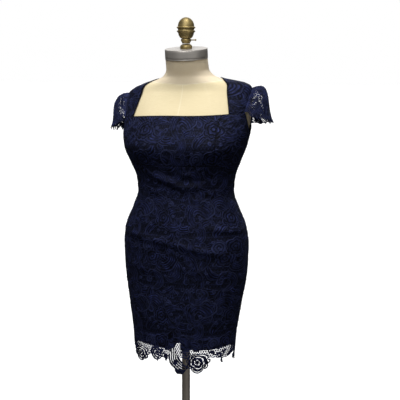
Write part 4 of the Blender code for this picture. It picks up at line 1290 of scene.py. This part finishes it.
def neck_cap_and_finial():
    centre_y = float(CENTRE_Y(NECK_TOP_Z))
    up = Vector((0.0, -math.sin(NECK_CAP_LEAN), math.cos(NECK_CAP_LEAN)))
    seat = Vector((0.0, centre_y, NECK_TOP_Z)) + up * SEAM_GAP
    rim = 0.0016
    cap = [(NECK_CAP_RADIUS - 0.0006, 0.0), (NECK_CAP_RADIUS, 0.0006), (NECK_CAP_RADIUS, 0.0030),
           (NECK_CAP_RADIUS - 0.0004, 0.0034), (NECK_CAP_RADIUS, 0.0040),
           (NECK_CAP_RADIUS, NECK_CAP_HEIGHT - rim),
           (NECK_CAP_RADIUS - 0.3 * rim, NECK_CAP_HEIGHT - 0.3 * rim),
           (NECK_CAP_RADIUS - rim, NECK_CAP_HEIGHT), (0.020, NECK_CAP_HEIGHT)]
    shell = turned_solid("neck_cap_shell", cap, 96, ALUMINIUM, seat, NECK_CAP_LEAN, 1)
    settle(shell, ["neck_cap"])

    foot_seat = seat + up * (NECK_CAP_HEIGHT + SEAM_GAP)
    foot = [(0.0170, 0.000), (0.0180, 0.003), (0.0172, 0.008), (0.0122, 0.012)]
    turned = turned_solid("finial_foot_turned", foot, 64, BRASS, foot_seat, NECK_CAP_LEAN)
    settle(turned, ["finial_foot"])
    stem_z = foot_seat.z + 0.0120 + 0.0118 * math.tan(NECK_CAP_LEAN) + SEAM_GAP
    axis = Vector((0.0, foot_seat.y - 0.0014, stem_z))
    stem = [(0.0118, 0.000), (0.0118, 0.0035), (0.0150, 0.0065), (0.0152, 0.0132), (0.0120, 0.0136)]
    settle(turned_solid("finial_stem_turned", stem, 64, BRASS, axis), ["finial_stem"])
    bowl = [(0.0120, 0.0139), (0.0172, 0.0160), (0.0215, 0.0235), (0.0232, 0.0310), (0.0258, 0.0330),
            (0.0274, 0.0350), (0.0258, 0.0370), (0.0234, 0.0385), (0.0234, 0.0420), (0.0262, 0.0435),
            (0.0278, 0.0455), (0.0262, 0.0475), (0.0240, 0.0485)]
    settle(turned_solid("finial_bowl_turned", bowl, 64, BRASS, axis), ["finial_bowl"])
    dome = [(0.0238 * math.cos(0.5 * math.pi * k / 16), 0.0488 + 0.0262 * math.sin(0.5 * math.pi * k / 16))
            for k in range(16)] + [(0.0, 0.0750)]
    settle(turned_solid("finial_dome_turned", dome, 64, BRASS, axis, 0.0, 0), ["finial_dome"])
    paint("finial_pin", BRASS)


def stand():
    for node, surface in (("stand_base", BASE_PAINT), ("stand_socket", FITTING), ("stand_tube", TUBE),
                          ("stand_pole", TUBE), ("height_clamp", FITTING), ("clamp_knob", FITTING),
                          ("form_boss", FITTING), ("arm_plate_left", PLATE), ("arm_plate_right", PLATE),
                          ("zip_slider", ZIP_METAL), ("zip_pull", ZIP_METAL)):
        paint(node, surface)


# ---------------------------------------------------------------- floor, light and camera
def studio():
    floor_mesh = bpy.data.meshes.new("floor")
    reach = 40.0
    corners = [(-reach, -reach, 0.0), (reach, -reach, 0.0), (reach, reach, 0.0), (-reach, reach, 0.0)]
    floor_mesh.from_pydata(corners, [], [(0, 1, 2, 3)])
    m = Nodes("pale floor", (0.95, 0.95, 0.95), 0.9)
    m.shader.inputs["Emission Color"].default_value = (1.0, 1.0, 1.0, 1.0)
    m.shader.inputs["Emission Strength"].default_value = 0.16
    floor_mesh.materials.append(m.made)
    floor = add_object("floor", floor_mesh)
    floor.location = (0.0, 0.0, -0.0004)
    floor.visible_diffuse = False
    floor.visible_glossy = False

    world = bpy.data.worlds.new("studio")
    bpy.context.scene.world = world
    world.use_nodes = True
    tree = world.node_tree
    tree.nodes.clear()
    seen = tree.nodes.new("ShaderNodeBackground")
    seen.inputs[0].default_value = (1.0, 1.0, 1.0, 1.0)
    light = tree.nodes.new("ShaderNodeBackground")
    around = tree.nodes.new("ShaderNodeTexCoord")
    axes = tree.nodes.new("ShaderNodeSeparateXYZ")
    fall = tree.nodes.new("ShaderNodeMapRange")
    for socket, number in zip(fall.inputs, (0.0, -0.3, 0.9, 0.03, 0.18)):
        socket.default_value = number
    tree.links.new(around.outputs["Generated"], axes.inputs[0])
    tree.links.new(axes.outputs["Z"], fall.inputs[0])
    tree.links.new(fall.outputs[0], light.inputs[1])
    light.inputs[0].default_value = (0.95, 0.97, 1.0, 1.0)
    path = tree.nodes.new("ShaderNodeLightPath")
    both = tree.nodes.new("ShaderNodeMixShader")
    out = tree.nodes.new("ShaderNodeOutputWorld")
    tree.links.new(path.outputs["Is Camera Ray"], both.inputs[0])
    tree.links.new(light.outputs[0], both.inputs[1])
    tree.links.new(seen.outputs[0], both.inputs[2])
    tree.links.new(both.outputs[0], out.inputs[0])

    for name, strength, soft, towards in (("overhead", 2.75, 40.0, (-0.06, 0.25, -1.0)),
                                          ("front fill", 0.18, 60.0, (0.15, 1.0, -0.15)),
                                          ("side fill", 0.30, 60.0, (-1.0, 0.75, 0.05)),
                                          ("back fill", 0.9, 60.0, (0.20, -1.0, -0.55))):
        lamp = bpy.data.lights.new(name, "SUN")
        lamp.energy = strength
        lamp.angle = math.radians(soft)
        add_object(name, lamp).rotation_euler = Vector(towards).to_track_quat("-Z", "Y").to_euler()

    # a near panel above the front, so the light falls off towards the hem
    panel = bpy.data.lights.new("near panel", "AREA")
    panel.size = 0.6
    panel.energy = 3.4
    obj = add_object("near panel", panel)
    obj.location = (0.04, -0.62, 1.90)
    obj.rotation_euler = (Vector((0.0, -0.05, 1.36)) - obj.location).to_track_quat("-Z", "Y").to_euler()


def camera():
    azimuth, pitch = math.radians(17.5), math.radians(9.7)
    distance, height = 2.5, 1.475
    lens = bpy.data.cameras.new("camera")
    lens.lens = 76.2
    lens.sensor_width = 36.0
    lens.shift_x = 0.035
    obj = add_object("camera", lens)
    obj.location = (distance * math.sin(azimuth), -distance * math.cos(azimuth), height)
    level = math.cos(pitch)
    ahead = Vector((-math.sin(azimuth) * level, math.cos(azimuth) * level, -math.sin(pitch)))
    obj.rotation_euler = ahead.to_track_quat("-Z", "Y").to_euler()
    bpy.context.scene.camera = obj
    bpy.context.scene.view_settings.view_transform = "Standard"


form_cover()
bodice_front()
bodice_side_fronts()
bodice_backs()
shoulder_straps()
cap_sleeves()
skirt_panels()
skirt_lining()
back_zip()
neck_cap_and_finial()
stand()
studio()
camera()
